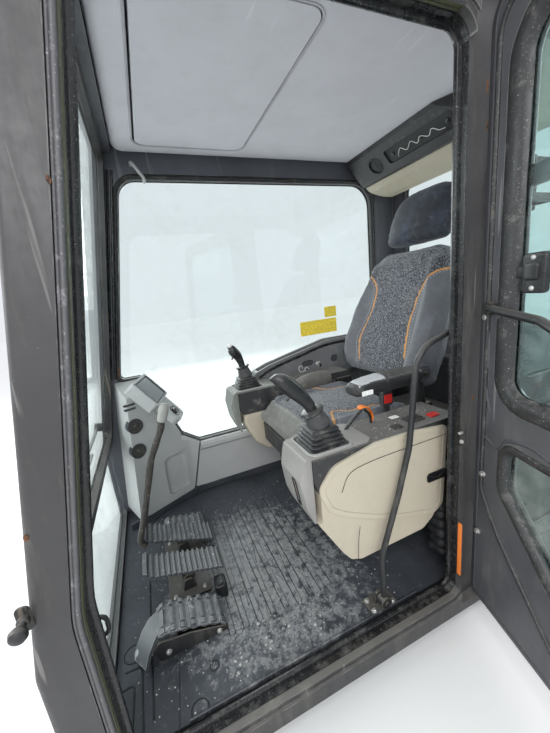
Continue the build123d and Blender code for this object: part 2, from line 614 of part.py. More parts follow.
def seat_backrest():
    """Backrest with a waist, a narrower shoulder and a bolster down each side."""
    points = [(-215, 70), (215, 70), (244, 190), (232, 380), (196, BACK_HEIGHT), (-196, BACK_HEIGHT),
              (-232, 380), (-244, 190)]
    body = back_plate(points, [60, 60, 90, 90, 70, 70, 90, 90], -BACK_THICK + 24, 24)
    bolster = [(-20, 84), (30, 84), (62, 120), (66, 200), (54, 330), (34, 460), (24, 540), (-20, 540)]
    for side in (-1, 1):
        hand = Plane(origin=(RECLINE_X, side * 208 + 30, RECLINE_Z), x_dir=BACK_PLANE.z_dir, z_dir=(0, -1, 0))
        pad = extrude(hand * outline(bolster, [0, 24, 24, 60, 90, 90, 10, 0]), amount=60)
        body += pad & back_plate(points, [60, 60, 90, 90, 70, 70, 90, 90], -BACK_THICK + 24, 90)
        hand = Plane(origin=(RECLINE_X, side * 220 + 3, RECLINE_Z), x_dir=BACK_PLANE.z_dir, z_dir=(0, -1, 0))
        arm = outline([(-26, -20), (20, -20), (16, 240), (-50, 240)], [18, 18, 4, 4])
        body += extrude(hand * arm, amount=6)
        body += rod((RECLINE_X, side * 218, RECLINE_Z), (RECLINE_X, side * 241, RECLINE_Z), SEAT_PIN)
    return body


def headrest():
    """Domed headrest on two posts."""
    low = BACK_HEIGHT + 17
    points = [(-150, low), (150, low), (162, low + 80), (118, low + 228), (-118, low + 228), (-162, low + 80)]
    body = back_plate(points, [34, 34, 60, 104, 104, 60], -70, 20)
    for y in (-60, 60):
        body += extrude(BACK_PLANE.offset(-30) * Pos(y, BACK_HEIGHT + 9) * Rectangle(14, 18), amount=14)
    return body


def left_armrest():
    """Armrest pad on its pivoting arm."""
    x, z = ARM_PIVOT
    pad = side_plate([(-196, 690), (34, 690), (66, 712), (62, 740), (20, 746), (-196, 746)],
                     [20, 24, 16, 12, 40, 20], 262, 332)
    hub = rod((x, 262, z), (x, 290, z), 44)
    hub += side_plate([(x, z - 16), (-180, z - 16), (-180, z + 16), (x, z + 16)], [0] * 4, 264, 288)
    return pad + hub - rod((x, 240, z), (x, 301, z), SEAT_PIN + 2 * PIN_GAP)


def seat_belt_buckle():
    """Buckle on a stiff stalk from the seat pan."""
    stalk = block((-128, -104), (238, 245), (430, 615), 3, Axis.Y)
    foot = block((-128, -104), (222 + GAP, 245), (430, 440))
    return stalk + foot + block((-136, -96), (232, 250), (612, 664), 6, Axis.Y)


def gate_lock_lever():
    """Long bent bar that bars the doorway when it is pushed forward."""
    points = [(LEVER_X, LEVER_Y, LEVER_Z), (80, LEVER_Y, 268), (18, LEVER_Y, 435), (-24, LEVER_Y, 570),
              (-52, LEVER_Y, 800), (-84, LEVER_Y, 838), (-166, LEVER_Y, 861)]
    bar = bent_bar(points, [120, 200, 200, 26, 40], LEVER_TUBE)
    hub = rod((LEVER_X, LEVER_Y - 12, LEVER_Z), (LEVER_X, LEVER_Y + 12, LEVER_Z), 34)
    bore = rod((LEVER_X, LEVER_Y - 30, LEVER_Z), (LEVER_X, LEVER_Y + 30, LEVER_Z), LEVER_PIN + 2 * PIN_GAP)
    return bar + hub - bore


def lever_bracket():
    """Floor bracket of the gate lock lever."""
    foot = block((LEVER_X - 45, LEVER_X + 45), (LEVER_Y - 46, LEVER_Y + 6), (MAT_TOP, MAT_TOP + 5), 8)
    ear = side_plate([(LEVER_X - 24, MAT_TOP), (LEVER_X + 24, MAT_TOP), (LEVER_X + 12, LEVER_Z + 14),
                      (LEVER_X - 12, LEVER_Z + 14)], [0, 0, 8, 8], LEVER_Y - 24, LEVER_Y - 17)
    return foot + ear + rod((LEVER_X, LEVER_Y - 20, LEVER_Z), (LEVER_X, LEVER_Y + 15, LEVER_Z), LEVER_PIN)


def travel_pedal(y_low, y_high, toe_z, heel_z):
    """Travel pedal on its arm, with two rows of cross ribs."""
    pad = side_plate([(470, heel_z - 12), (700, toe_z - 12), (706, toe_z), (700, toe_z + 8), (470, heel_z)],
                     [3, 5, 3, 3, 3], y_low, y_high)
    middle = (y_low + y_high) / 2
    ribs = []
    for index in range(PEDAL_RIBS):
        share = (index + 0.5) / PEDAL_RIBS
        x = 474 + 224 * share
        z = heel_z + (toe_z + 8 - heel_z) * share
        for low, high in ((y_low + 4, middle - 3), (middle + 3, y_high - 4)):
            ribs.append(block((x - 4.5, x + 4.5), (low, high), (z - 4, z + 6)))
    x, z = PEDAL_AXIS_X, PEDAL_AXIS_Z
    under = heel_z + (toe_z - heel_z) * (x - 470) / 230
    arm = side_plate([(x - 16, z), (x + 16, z), (x + 30, under), (x - 30, under - 12)],
                     [0, 0, 2, 2], middle - 16, middle + 16)
    arm += rod((x, middle - 16, z), (x, middle + 16, z), 34)
    return pad + ribs + arm - rod((x, middle - 20, z), (x, middle + 20, z), PEDAL_PIN + 2 * PIN_GAP)


def right_travel_pedal():
    """Right travel pedal with its hand lever."""
    pedal = travel_pedal(-148, -52, 212, 128)
    lever = bent_bar([(700, -62, 196), (722, -62, 214), (692, -62, 293), (631, -62, 497), (583, -62, 597),
                      (560, -62, 664)], [12, 60, 120, 90], 20)
    knob = rod((566, -62, 648), (548, -62, 700), 30)
    return pedal + lever + knob


def left_travel_pedal():
    return travel_pedal(22, 116, 216, 150)


def pedal_base():
    """Shared pedal bracket on the floor, with an ear each side of each pedal arm and the pins."""
    foot = block((520, 650), (-160, 130), (MAT_TOP, MAT_TOP + 8), 8)
    x, z = PEDAL_AXIS_X, PEDAL_AXIS_Z
    for middle in (-100, 69):
        for side in (-1, 1):
            y = middle + side * 26
            foot += side_plate([(x - 23, MAT_TOP + 5), (x + 23, MAT_TOP + 5), (x + 13, z + 14), (x - 13, z + 14)],
                               [0, 0, 8, 8], y - 4, y + 4)
        foot += rod((x, middle - 28, z), (x, middle + 28, z), PEDAL_PIN)
    return foot


def auxiliary_pedal():
    """Near pedal covered with small blocks, with a bent side plate, fixed on the floor."""
    pad = side_plate([(500, 104), (680, 160), (684, 172), (500, 116)], [2] * 4, 176, 276)
    studs = []
    for row in range(6):
        x = 514 + 30 * row
        z = 118 + 56 * (x - 500) / 184
        for column in range(5):
            y = 188 + 19 * column
            studs.append(block((x - 10, x + 10), (y - 6, y + 6), (z - 5, z + 8)))
    cheek = side_plate([(560, 112), (676, 148), (676, 170), (560, 136)], [6] * 4, 170, 177)
    post = block((590, 640), (206, 246), (MAT_TOP, 140), 6)
    return pad + studs + cheek + post


def small_pedal():
    """Far foot switch."""
    pad = side_plate([(490, 98), (636, 128), (640, 140), (490, 110)], [2] * 4, -262, -192)
    ribs = []
    for index in range(7):
        x = 500 + 21 * index
        z = 112 + 30 * (x - 490) / 150
        ribs.append(block((x - 6, x + 6), (-258, -196), (z - 3, z + 6)))
    return pad + ribs + block((570, 610), (-246, -208), (MAT_TOP, 122), 6)


def rear_overhead_console():
    """Beam across the rear of the ceiling, with a rounded end at the right wall."""
    profile = [(-740, CEILING_Z - GAP), (OVERHEAD_TOP_X, CEILING_Z - GAP), (OVERHEAD_LOW_X, 1484), (-640, 1462),
               (-700, 1430), (-740, 1424)]
    body = side_plate(profile, [0, 0, 8, 24, 40, 8], -INNER_Y + 14, INNER_Y - 14)
    across = [(-INNER_Y + 14, 1424), (INNER_Y - 14, 1424), (INNER_Y - 14, 1600), (-INNER_Y + 14, 1600)]
    return body & cross_plate(across, [90, 60, 0, 0], -745, -500)


def rear_overhead_panel():
    """Dark facing of the overhead beam, with a speaker well and a long hollow."""
    shift = 2 * GAP
    profile = [(OVERHEAD_LOW_X + shift, 1484), (-602, 1484), (-512, 1580), (-503, CEILING_Z - GAP),
               (OVERHEAD_TOP_X + shift, CEILING_Z - GAP)]
    body = side_plate(profile, [2, 10, 10, 2, 0], -INNER_Y + 24, 236)
    plan = [(-640, -INNER_Y + 24), (-503, -INNER_Y + 24), (-500, 60), (-548, 160), (-600, 236), (-640, 236)]
    body &= plan_plate(plan, [0, 20, 60, 80, 20, 0], 1480, 1600)
    face = Plane(origin=(-557, 0, 1532), x_dir=(0, 1, 0), z_dir=(0.7295, 0, -0.684))
    body -= extrude(face.offset(-8) * Pos(-292, -5) * Circle(40), amount=30)
    hollow = outline([(-215, -30), (120, -30), (120, 34), (-215, 34)], [14] * 4)
    return body - extrude(face.offset(-8) * hollow, amount=30)


def overhead_hook():
    """Grab loop at the top of the right A-pillar."""
    y = -INNER_Y + GAP
    return bent_bar([(500, y, 1560), (500, y + 40, 1560), (460, y + 40, 1500), (460, y, 1500)], [16, 16], 12)


def wiper():
    """Wiper arm and blade, parked along the foot of the windshield."""
    arm = shield_plate((-370, 90), (92, 104), 5, 24, 32)
    blade = shield_plate((-120, 300), (84, 96), 3, 12, 22)
    link = shield_plate((60, 100), (86, 106), 4, 20, 26)
    hub = extrude(SHIELD_PLANE.offset(GAP + GLASS + GAP) * Pos(-372, 98) * Circle(17), amount=38 - GLASS - 2 * GAP)
    return arm + blade + link + hub


def to_open(shape):
    """Turn a door piece from shut to where the photograph shows it."""
    return Pos(DOOR_AXIS_X, DOOR_AXIS_Y, 0) * Rot(0, 0, DOOR_OPEN_ANGLE) * Pos(-DOOR_AXIS_X, -DOOR_AXIS_Y, 0) * shape


DOOR_OUTLINE = [
    (DOOR_REAR, DOOR_BOTTOM), (DOOR_FRONT_LOW, DOOR_BOTTOM), (DOOR_FRONT_LOW, PILLAR_KNEE_Z),
    (DOOR_FRONT_LOW - PILLAR_LEAN * (DOOR_TOP - PILLAR_KNEE_Z), DOOR_TOP), (DOOR_REAR, DOOR_TOP),
]
DOOR_RADII = [20, 60, 250, 100, 60]
DOOR_TOP_WINDOW = [
    (DOOR_REAR + 82, 716), (doorway_x(716) - 34, 716), (doorway_x(1440) - 34, 1440), (DOOR_REAR + 82, 1440),
]
DOOR_TOP_WINDOW_RADII = [50, 60, 90, 60]
DOOR_LOW_WINDOW = [
    (DOOR_REAR + 92, 590), (DOOR_REAR + 92, 476), (DOOR_REAR + 372, 200), (680, 200), (694, 590),
]
DOOR_LOW_WINDOW_RADII = [30, 50, 70, 60, 40]
DOOR_SEAL = [
    (DOOR_REAR + 24, 436), (-190, 340), (40, 116), (754, 116), (754, PILLAR_KNEE_Z), (doorway_x(1500) + 6, 1500),
    (DOOR_REAR + 24, 1500),
]
DOOR_SEAL_RADII = [70, 120, 90, 60, 230, 90, 60]


def door_frame():
    """Door pressing with two windows, knuckles and a channel for its seal."""
    frame = side_plate(DOOR_OUTLINE, DOOR_RADII, DOOR_INNER_Y, DOOR_OUTER_Y)
    frame = fillet(frame.faces().sort_by(Axis.Y)[-1].edges(), 8)
    channel = grown(DOOR_SEAL, DOOR_SEAL_RADII, SEAL_WIDTH / 2, DOOR_INNER_Y - 1, DOOR_INNER_Y + SEAL_DEPTH)
    frame -= channel - grown(DOOR_SEAL, DOOR_SEAL_RADII, -SEAL_WIDTH / 2, DOOR_INNER_Y - 2, DOOR_OUTER_Y)
    for points, radii, rim in ((DOOR_TOP_WINDOW, DOOR_TOP_WINDOW_RADII, 32),
                               (DOOR_LOW_WINDOW, DOOR_LOW_WINDOW_RADII, 18)):
        frame -= side_plate(points, radii, DOOR_INNER_Y - 1, DOOR_OUTER_Y + 1)
        frame -= grown(points, radii, rim, DOOR_INNER_Y - 1, DOOR_INNER_Y + 3)
    for z in HINGE_HEIGHTS:
        knuckle = Pos(DOOR_AXIS_X, DOOR_AXIS_Y, z) * Cylinder(12, 40)
        strap = block((DOOR_AXIS_X, DOOR_AXIS_X + 70), (DOOR_OUTER_Y - 1, DOOR_OUTER_Y + 8), (z - 20, z + 20))
        frame += knuckle + strap
        frame -= Pos(DOOR_AXIS_X, DOOR_AXIS_Y, z) * Cylinder(HINGE_PIN / 2 + PIN_GAP, 60)
    return to_open(frame)


def door_pane(points, radii):
    return to_open(pane(points, radii, DOOR_INNER_Y + DOOR_THICK / 2))


def door_hinges():
    """Hinge arms on the B-pillar with pins through the door's knuckles."""
    arms = []
    for z in HINGE_HEIGHTS:
        pin = Pos(DOOR_AXIS_X, DOOR_AXIS_Y, z) * Cylinder(HINGE_PIN / 2, 84)
        foot_x = B_PILLAR_REAR - 12
        pin += block((foot_x - 40, foot_x), (HALF_WIDTH, HALF_WIDTH + 8), (z - 48, z + 48), 6, Axis.Y)
        for low, high in ((z - 42, z - 26), (z + 26, z + 42)):
            pin += Pos(DOOR_AXIS_X, DOOR_AXIS_Y, (low + high) / 2) * Cylinder(12, high - low)
            pin += plan_plate([(foot_x - 12, HALF_WIDTH + 4), (foot_x, HALF_WIDTH + 4), (foot_x, DOOR_AXIS_Y - 6),
                               (DOOR_AXIS_X, DOOR_AXIS_Y - 6), (DOOR_AXIS_X, DOOR_AXIS_Y + 6),
                               (foot_x - 12, DOOR_AXIS_Y + 6)], [0, 0, 0, 0, 0, 16], low, high)
        arms.append(pin)
    return Compound(children=arms)


def door_grab_bar():
    """Bar across the inside of the upper window, flat where it passes the B-pillar."""
    y = DOOR_INNER_Y
    bar = bent_bar([(DOOR_REAR + 36, y - 11, 921), (-110, y - 11, 902), (-40, y - 44, 892), (600, y - 44, 804),
                    (660, y - 4, 796)], [30, 30, 30], 18)
    for x, z, wide in ((DOOR_REAR + 36, 921, 30), (664, 795, 22)):
        bar += rod((x, y - 16, z), (x, y - GAP, z), wide)
    return to_open(bar)


def door_latch():
    """Lock case with its inner and outer handles at the front edge of the door."""
    case = block((636, 700), (DOOR_INNER_Y - 16, DOOR_INNER_Y), (640, 704), 6, Axis.Y)
    outer = block((640, 752), (DOOR_OUTER_Y, DOOR_OUTER_Y + 24), (640, 672), 8, Axis.Y)
    return Compound(children=[to_open(case), to_open(outer)])


PIECES = {
    "base_frame": base_frame,
    "left_side_frame": left_side_frame,
    "right_side_frame": right_side_frame,
    "rear_panel": rear_panel,
    "front_frame": front_frame,
    "roof_panel": roof_panel,
    "headliner": headliner,
    "roof_hatch": roof_hatch,
    "windshield_frame": windshield_frame,
    "windshield_glass": windshield_glass,
    "lower_front_glass": lower_front_glass,
    "right_window": right_window,
    "rear_window": rear_window,
    "left_quarter_window": left_quarter_window,
    "floor_mat": floor_mat,
    "front_corner_trim": front_corner_trim,
    "monitor": monitor,
    "right_wall_trim": right_wall_trim,
    "switch_tray": switch_tray,
    "right_console": right_console,
    "right_console_panel": right_console_panel,
    "left_console": left_console,
    "left_console_panel": left_console_panel,
    "seat_pedestal": seat_pedestal,
    "storage_box": storage_box,
    "seat_slide": seat_slide,
    "seat_cushion": seat_cushion,
    "seat_backrest": seat_backrest,
    "headrest": headrest,
    "left_armrest": left_armrest,
    "seat_belt_buckle": seat_belt_buckle,
    "gate_lock_lever": gate_lock_lever,
    "lever_bracket": lever_bracket,
    "pedal_base": pedal_base,
    "right_travel_pedal": right_travel_pedal,
    "left_travel_pedal": left_travel_pedal,
    "auxiliary_pedal": auxiliary_pedal,
    "small_pedal": small_pedal,
    "rear_overhead_console": rear_overhead_console,
    "rear_overhead_panel": rear_overhead_panel,
    "overhead_hook": overhead_hook,
    "wiper": wiper,
    "door_frame": door_frame,
    "door_hinges": door_hinges,
    "door_grab_bar": door_grab_bar,
    "door_latch": door_latch,
}

os.makedirs("parts", exist_ok=True)
for name, make in PIECES.items():
    export_step(make(), f"parts/{name}.step")
for side, word, reach in ((1, "left", 1.0), (-1, "right", 0.6)):
    export_step(joystick(side, reach), f"parts/{word}_joystick.step")
    export_step(console_bezel(side), f"parts/{word}_console_bezel.step")
    export_step(boot(side), f"parts/{word}_joystick_boot.step")
export_step(door_pane(DOOR_TOP_WINDOW, DOOR_TOP_WINDOW_RADII), "parts/door_upper_glass.step")
export_step(door_pane(DOOR_LOW_WINDOW, DOOR_LOW_WINDOW_RADII), "parts/door_lower_glass.step")
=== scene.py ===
"""Looks of an excavator operator's cab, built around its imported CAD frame."""
import math
import random

import bmesh
import bpy
import numpy as np
from bpy.props import FloatProperty, FloatVectorProperty, IntProperty, PointerProperty
from mathutils import Matrix, Vector
from mathutils.bvhtree import BVHTree


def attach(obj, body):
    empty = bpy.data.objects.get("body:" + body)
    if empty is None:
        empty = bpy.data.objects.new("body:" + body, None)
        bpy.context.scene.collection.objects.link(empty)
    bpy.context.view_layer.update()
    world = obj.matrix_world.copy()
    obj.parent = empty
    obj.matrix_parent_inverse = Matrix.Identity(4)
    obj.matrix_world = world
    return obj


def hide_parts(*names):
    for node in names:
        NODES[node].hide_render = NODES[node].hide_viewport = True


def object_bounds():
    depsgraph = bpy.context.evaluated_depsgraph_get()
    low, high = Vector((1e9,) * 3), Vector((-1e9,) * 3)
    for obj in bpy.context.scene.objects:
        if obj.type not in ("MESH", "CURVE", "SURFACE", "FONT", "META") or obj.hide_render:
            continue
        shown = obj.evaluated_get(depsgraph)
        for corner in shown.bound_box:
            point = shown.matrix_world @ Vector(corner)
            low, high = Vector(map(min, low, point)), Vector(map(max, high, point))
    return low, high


bl_info = {
    "name": "Operator Cab Finish",
    "version": (1, 0, 0),
    "blender": (4, 5, 0),
    "location": "View3D > Sidebar > Cab",
    "description": "Finishes the surfaces, seals, seat and controls of an excavator operator's cab",
    "category": "Object",
}

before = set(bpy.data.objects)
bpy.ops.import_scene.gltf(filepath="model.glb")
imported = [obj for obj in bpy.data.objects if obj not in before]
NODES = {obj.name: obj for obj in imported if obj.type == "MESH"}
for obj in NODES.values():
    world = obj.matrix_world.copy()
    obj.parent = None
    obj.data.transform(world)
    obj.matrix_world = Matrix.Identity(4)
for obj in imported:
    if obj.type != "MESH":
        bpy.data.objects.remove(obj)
CAD_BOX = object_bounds()
MM = 0.001

# The camera, as solved from straight edges of the cab
CAMERA_PLACE = (0.560, 1.022, 1.008)
CAMERA_RIGHT = (-0.91784, 0.38181, -0.10859)
CAMERA_DOWN = (0.18472, 0.16870, -0.96820)
CAMERA_FORWARD = (-0.35135, -0.90872, -0.22537)
FOCAL_PIXELS = 315.1
PHOTO_HEIGHT = 733.0
SENSOR = 36.0

# Sizes of the CAD source that the finish follows, in millimetres
HALF_WIDTH, INNER_Y, REAR_X = 505.0, 465.0, -850.0
MAT_TOP, CEILING_Z, ROOF_TOP_Z = 90.0, 1598.0, 1700.0
DOOR_OPEN_ANGLE, DOOR_AXIS_X, DOOR_AXIS_Y = 72.0, -226.0, 562.0
DOOR_INNER_Y, DOOR_OUTER_Y = 512.0, 548.0
CONSOLE_TOP, STICK_X, STICK_Y = 600.0, 185.0, 330.0
DOORWAY = [(-148, 90), (747, 90), (747, 520), (564.7, 1500), (-148, 1500)]
DOORWAY_RADII = [35, 60, 250, 90, 45]
RIGHT_WINDOW = [(-673, 345), (421, 345), (498, 400), (615, 709), (714.8, 709), (561.6, 1517), (-673, 1517)]
RIGHT_WINDOW_RADII = [90, 30, 40, 30, 25, 80, 110]
QUARTER_WINDOW = [(-790, 700), (-340, 700), (-340, 1517), (-790, 1517)]
QUARTER_RADII = [60, 60, 60, 90]
REAR_WINDOW = [(-385, 780), (385, 780), (385, 1500), (-385, 1500)]
DOOR_TOP_WINDOW = [(-199, 716), (676.5, 716), (541.9, 1440), (-199, 1440)]
DOOR_TOP_RADII = [50, 60, 90, 60]
DOOR_LOW_WINDOW = [(-189, 590), (-189, 476), (91, 200), (680, 200), (694, 590)]
DOOR_LOW_RADII = [30, 50, 70, 60, 40]
DOOR_SEAL = [(-257, 436), (-190, 340), (40, 116), (754, 116), (754, 520), (570.7, 1500), (-257, 1500)]
DOOR_SEAL_RADII = [70, 120, 90, 60, 230, 90, 60]
DOOR_OUTLINE = [(-281, 84), (790, 84), (790, 520), (601.8, 1532), (-281, 1532)]
DOOR_OUTLINE_RADII = [20, 60, 250, 100, 60]
BACK_LEAN = math.radians(19.0)
BACK_HINGE_X, BACK_HINGE_Z = -270.0, 560.0
TRIM_X, TRIM_Y, TRIM_COS, TRIM_SIN = 475.0, -447.0, 0.9131, 0.4077
MONITOR_CENTRE, MONITOR_ALONG, MONITOR_OUT = (591, -373, 672), (0.5999, -0.1664, 0.7826), (-0.7541, 0.2091, 0.6225)
OVERHEAD_CENTRE, OVERHEAD_OUT = (-557, 0, 1532), (0.7295, 0, -0.684)
PANE_INNER_Y = 471.0

# Levels of the stage
SKY_COLOUR, SEEN_SKY, BOUNCED_FLOOR = (0.93, 0.95, 1.0, 1), 0.9, (0.78, 0.77, 0.75)

AHEAD, LEFT, UP = Vector((1, 0, 0)), Vector((0, 1, 0)), Vector((0, 0, 1))
LEAST_RADIUS = 0.02


def paler(colour, times, plus=0.0):
    """The colour times a factor and plus a level, up to white."""
    return tuple(min(1.0, c * times + plus) for c in colour)


class Nodes:
    """Short calls that add and join the nodes of a tree."""

    def __init__(self, tree):
        self.tree = tree

    def add(self, kind, links=None, values=None, **settings):
        node = self.tree.nodes.new(kind)
        for key, value in settings.items():
            setattr(node, key, value)
        for key, value in (values or {}).items():
            node.inputs[key].default_value = value
        for key, source in (links or {}).items():
            self.tree.links.new(source, node.inputs[key])
        return node

    def math(self, kind, a, b=0.0):
        node = self.add("ShaderNodeMath", operation=kind)
        for index, value in enumerate((a, b)):
            if isinstance(value, (int, float)):
                node.inputs[index].default_value = value
            else:
                self.tree.links.new(value, node.inputs[index])
        return node.outputs[0]

    def plus(self, a, b):
        return self.math("ADD", a, b)

    def times(self, a, b):
        return self.math("MULTIPLY", a, b)


FINISHES = {}


class Shader(Nodes):
    """A new material with its Principled shader, kept under its name in FINISHES."""

    def __init__(self, name, colour=(0.5, 0.5, 0.5), rough=0.5, metal=0.0, **sockets):
        self.material = FINISHES[name] = bpy.data.materials.new(name)
        self.material.use_nodes = True
        super().__init__(self.material.node_tree)
        self.main = self.tree.nodes["Principled BSDF"]
        self.main.inputs["Base Color"].default_value = (*colour, 1)
        self.main.inputs["Roughness"].default_value = rough
        self.main.inputs["Metallic"].default_value = metal
        for key, value in sockets.items():
            self.main.inputs[key.replace("_", " ").title()].default_value = value
        self.where = self.add("ShaderNodeTexCoord").outputs["Object"]

    def stretched(self, scale, turn=(0, 0, 0)):
        node = self.add("ShaderNodeMapping", {"Vector": self.where}, {"Scale": scale, "Rotation": turn})
        return node.outputs["Vector"]

    def noise(self, scale, detail=4.0, rough=0.55, where=None):
        node = self.add("ShaderNodeTexNoise", {"Vector": where or self.where}, {"Scale": scale, "Detail": detail,
            "Roughness": rough, "Distortion": 0.0})
        return node.outputs["Fac"]

    def cells(self, scale):
        """Distance from the middle of the nearest cell."""
        return self.add("ShaderNodeTexVoronoi", {"Vector": self.where}, {"Scale": scale}).outputs["Distance"]

    def ramp(self, source, low, high, out_low=0.0, out_high=1.0):
        node = self.add("ShaderNodeMapRange", {"Value": source}, {"From Min": low, "From Max": high,
            "To Min": out_low, "To Max": out_high})
        node.interpolation_type = "SMOOTHSTEP"
        return node.outputs["Result"]

    def mix(self, amount, a, b):
        """Colour a where amount is 0, b where it is 1."""
        node = self.add("ShaderNodeMix", {"Factor": amount}, data_type="RGBA")
        for name, value in (("A", a), ("B", b)):
            socket = [s for s in node.inputs if s.name == name and s.type == "RGBA"][0]
            if isinstance(value, tuple):
                socket.default_value = (*value[:3], 1)
            else:
                self.tree.links.new(value, socket)
        return [s for s in node.outputs if s.type == "RGBA"][0]

    def axis(self, name, source=None):
        node = self.add("ShaderNodeSeparateXYZ", {"Vector": source or self.where})
        return node.outputs[name]

    def facing_up(self, low=0.4, high=0.95):
        normal = self.add("ShaderNodeNewGeometry").outputs["Normal"]
        return self.ramp(self.axis("Z", normal), low, high)

    def edges(self, radius):
        """Where the surface turns sharply, from a bevelled normal against the true one."""
        soft = self.add("ShaderNodeBevel", values={"Radius": radius}, samples=4).outputs["Normal"]
        true = self.add("ShaderNodeNewGeometry").outputs["Normal"]
        dot = self.add("ShaderNodeVectorMath", {0: soft, 1: true}, operation="DOT_PRODUCT").outputs["Value"]
        return self.ramp(self.math("SUBTRACT", 1.0, dot), 0.02, 0.2)

    def colour(self, source):
        self.tree.links.new(source, self.main.inputs["Base Color"])

    def rough(self, source):
        self.tree.links.new(source, self.main.inputs["Roughness"])

    def metal(self, source):
        self.tree.links.new(source, self.main.inputs["Metallic"])

    def bump(self, height, strength=0.3, distance=0.001, bevel=0.0):
        node = self.add("ShaderNodeBump", {"Height": height}, {"Strength": strength, "Distance": distance})
        if bevel:
            soft = self.add("ShaderNodeBevel", values={"Radius": bevel}, samples=4).outputs["Normal"]
            self.tree.links.new(soft, node.inputs["Normal"])
        self.tree.links.new(node.outputs["Normal"], self.main.inputs["Normal"])


def worn_paint(name, colour, worn, dust=(0.30, 0.28, 0.25), gloss=0.38, wear=1.0, up=0.55, streak=0.28, inner=None):
    """Paint with rubbed edges, scratches, orange peel and dust that lies on what faces up; where an inner colour is
    given, everything inside the side walls is mixed towards it as painted light.
    """
    s = Shader(name, colour, gloss)
    broad = s.noise(3.5, 5)
    fine = s.noise(60, 4)
    streaks = s.noise(11, 7, 0.72, s.stretched((1, 1, 0.16)))
    scratch = s.ramp(s.noise(46, 2, 0.5, s.stretched((1.0, 1.0, 0.05), (0.25, 0.15, 0.4))), 0.68, 0.72)
    chips = s.ramp(s.noise(95, 5, 0.7), 0.68, 0.74)
    rub = s.times(s.edges(0.004), s.ramp(s.plus(broad, s.times(fine, 0.5)), 0.66, 0.86))
    base = s.mix(s.ramp(broad, 0.35, 0.7), colour, paler(colour, 1.3, 0.006))
    # Painted light: inside the side walls the paint is mixed towards the paler inner colour, which stands in for the
    # light those faces catch.
    if inner:
        painted_light_inside = s.times(s.ramp(s.math("ABSOLUTE", s.axis("Y")), 0.4655, 0.4675, 1, 0), s.ramp(broad, 0.3, 0.6, 0.6,
            1))
        base = s.mix(painted_light_inside, base, inner)
    base = s.mix(s.times(s.ramp(streaks, 0.52, 0.74), streak), base, dust)
    base = s.mix(s.times(s.facing_up(), up), base, dust)
    base = s.mix(s.times(scratch, 0.4 * wear), base, worn)
    base = s.mix(s.times(chips, 0.5 * wear), base, worn)
    base = s.mix(s.times(rub, 0.8 * wear), base, worn)
    s.colour(base)
    s.rough(s.ramp(s.plus(streaks, s.times(fine, 0.3)), 0.4, 0.9, gloss, gloss + 0.3))
    s.bump(s.plus(s.times(s.noise(420, 2), 0.35), s.times(scratch, -0.6)), 0.22, 0.0006, 0.0015)


def rusty(name, colour=(0.19, 0.075, 0.03), spots=(0.03, 0.018, 0.012)):
    """Paint broken by rust, for spots and stains."""
    s = Shader(name, colour, 0.85)
    cloud = s.noise(90, 7, 0.7)
    s.colour(s.mix(s.ramp(cloud, 0.42, 0.62), colour, spots))
    s.bump(cloud, 0.6, 0.001)


def moulded(name, colour, dust=(0.34, 0.32, 0.29), gloss=0.5, grain=1400.0, dirt=0.35, up=0.3, sheen=1.2):
    """Grained plastic with dust, faint scuffs and a slightly polished handling pattern."""
    s = Shader(name, colour, gloss)
    broad = s.noise(5, 5)
    cloud = s.noise(22, 7, 0.68)
    scuff = s.ramp(s.noise(70, 3, 0.5, s.stretched((1, 0.08, 0.4), (0.3, 0.5, 0.2))), 0.67, 0.74)
    base = s.mix(s.ramp(broad, 0.35, 0.68), colour, paler(colour, sheen))
    base = s.mix(s.times(s.ramp(cloud, 0.52, 0.76), dirt), base, dust)
    base = s.mix(s.times(s.facing_up(), up), base, dust)
    base = s.mix(s.times(scuff, 0.2), base, paler(colour, 1.5, 0.08))
    s.colour(base)
    s.rough(s.ramp(s.plus(cloud, s.times(broad, 0.4)), 0.45, 0.95, gloss - 0.08, gloss + 0.22))
    s.bump(s.plus(s.cells(grain), s.times(scuff, -0.5)), 0.16, 0.0004, 0.002)


def rubber(name, colour, dust=(0.21, 0.20, 0.185), amount=0.5, gloss=0.5, speck=0.35):
    """Black rubber with dried dust in fine clouds and pale specks."""
    s = Shader(name, colour, gloss)
    cloud = s.noise(26.0, 9, 0.74)
    specks = s.ramp(s.noise(260, 3), 0.62, 0.72)
    base = s.mix(s.times(s.ramp(cloud, 0.53, 0.72), amount), colour, dust)
    base = s.mix(s.times(s.times(s.facing_up(0.2, 0.95), s.ramp(cloud, 0.44, 0.66)), amount), base, dust)
    base = s.mix(s.times(specks, speck), base, paler(dust, 1.7))
    s.colour(base)
    s.rough(s.ramp(cloud, 0.4, 0.75, gloss - 0.12, gloss + 0.3))
    s.bump(s.plus(s.noise(500, 3), s.times(cloud, 0.4)), 0.25, 0.0006, 0.0012)


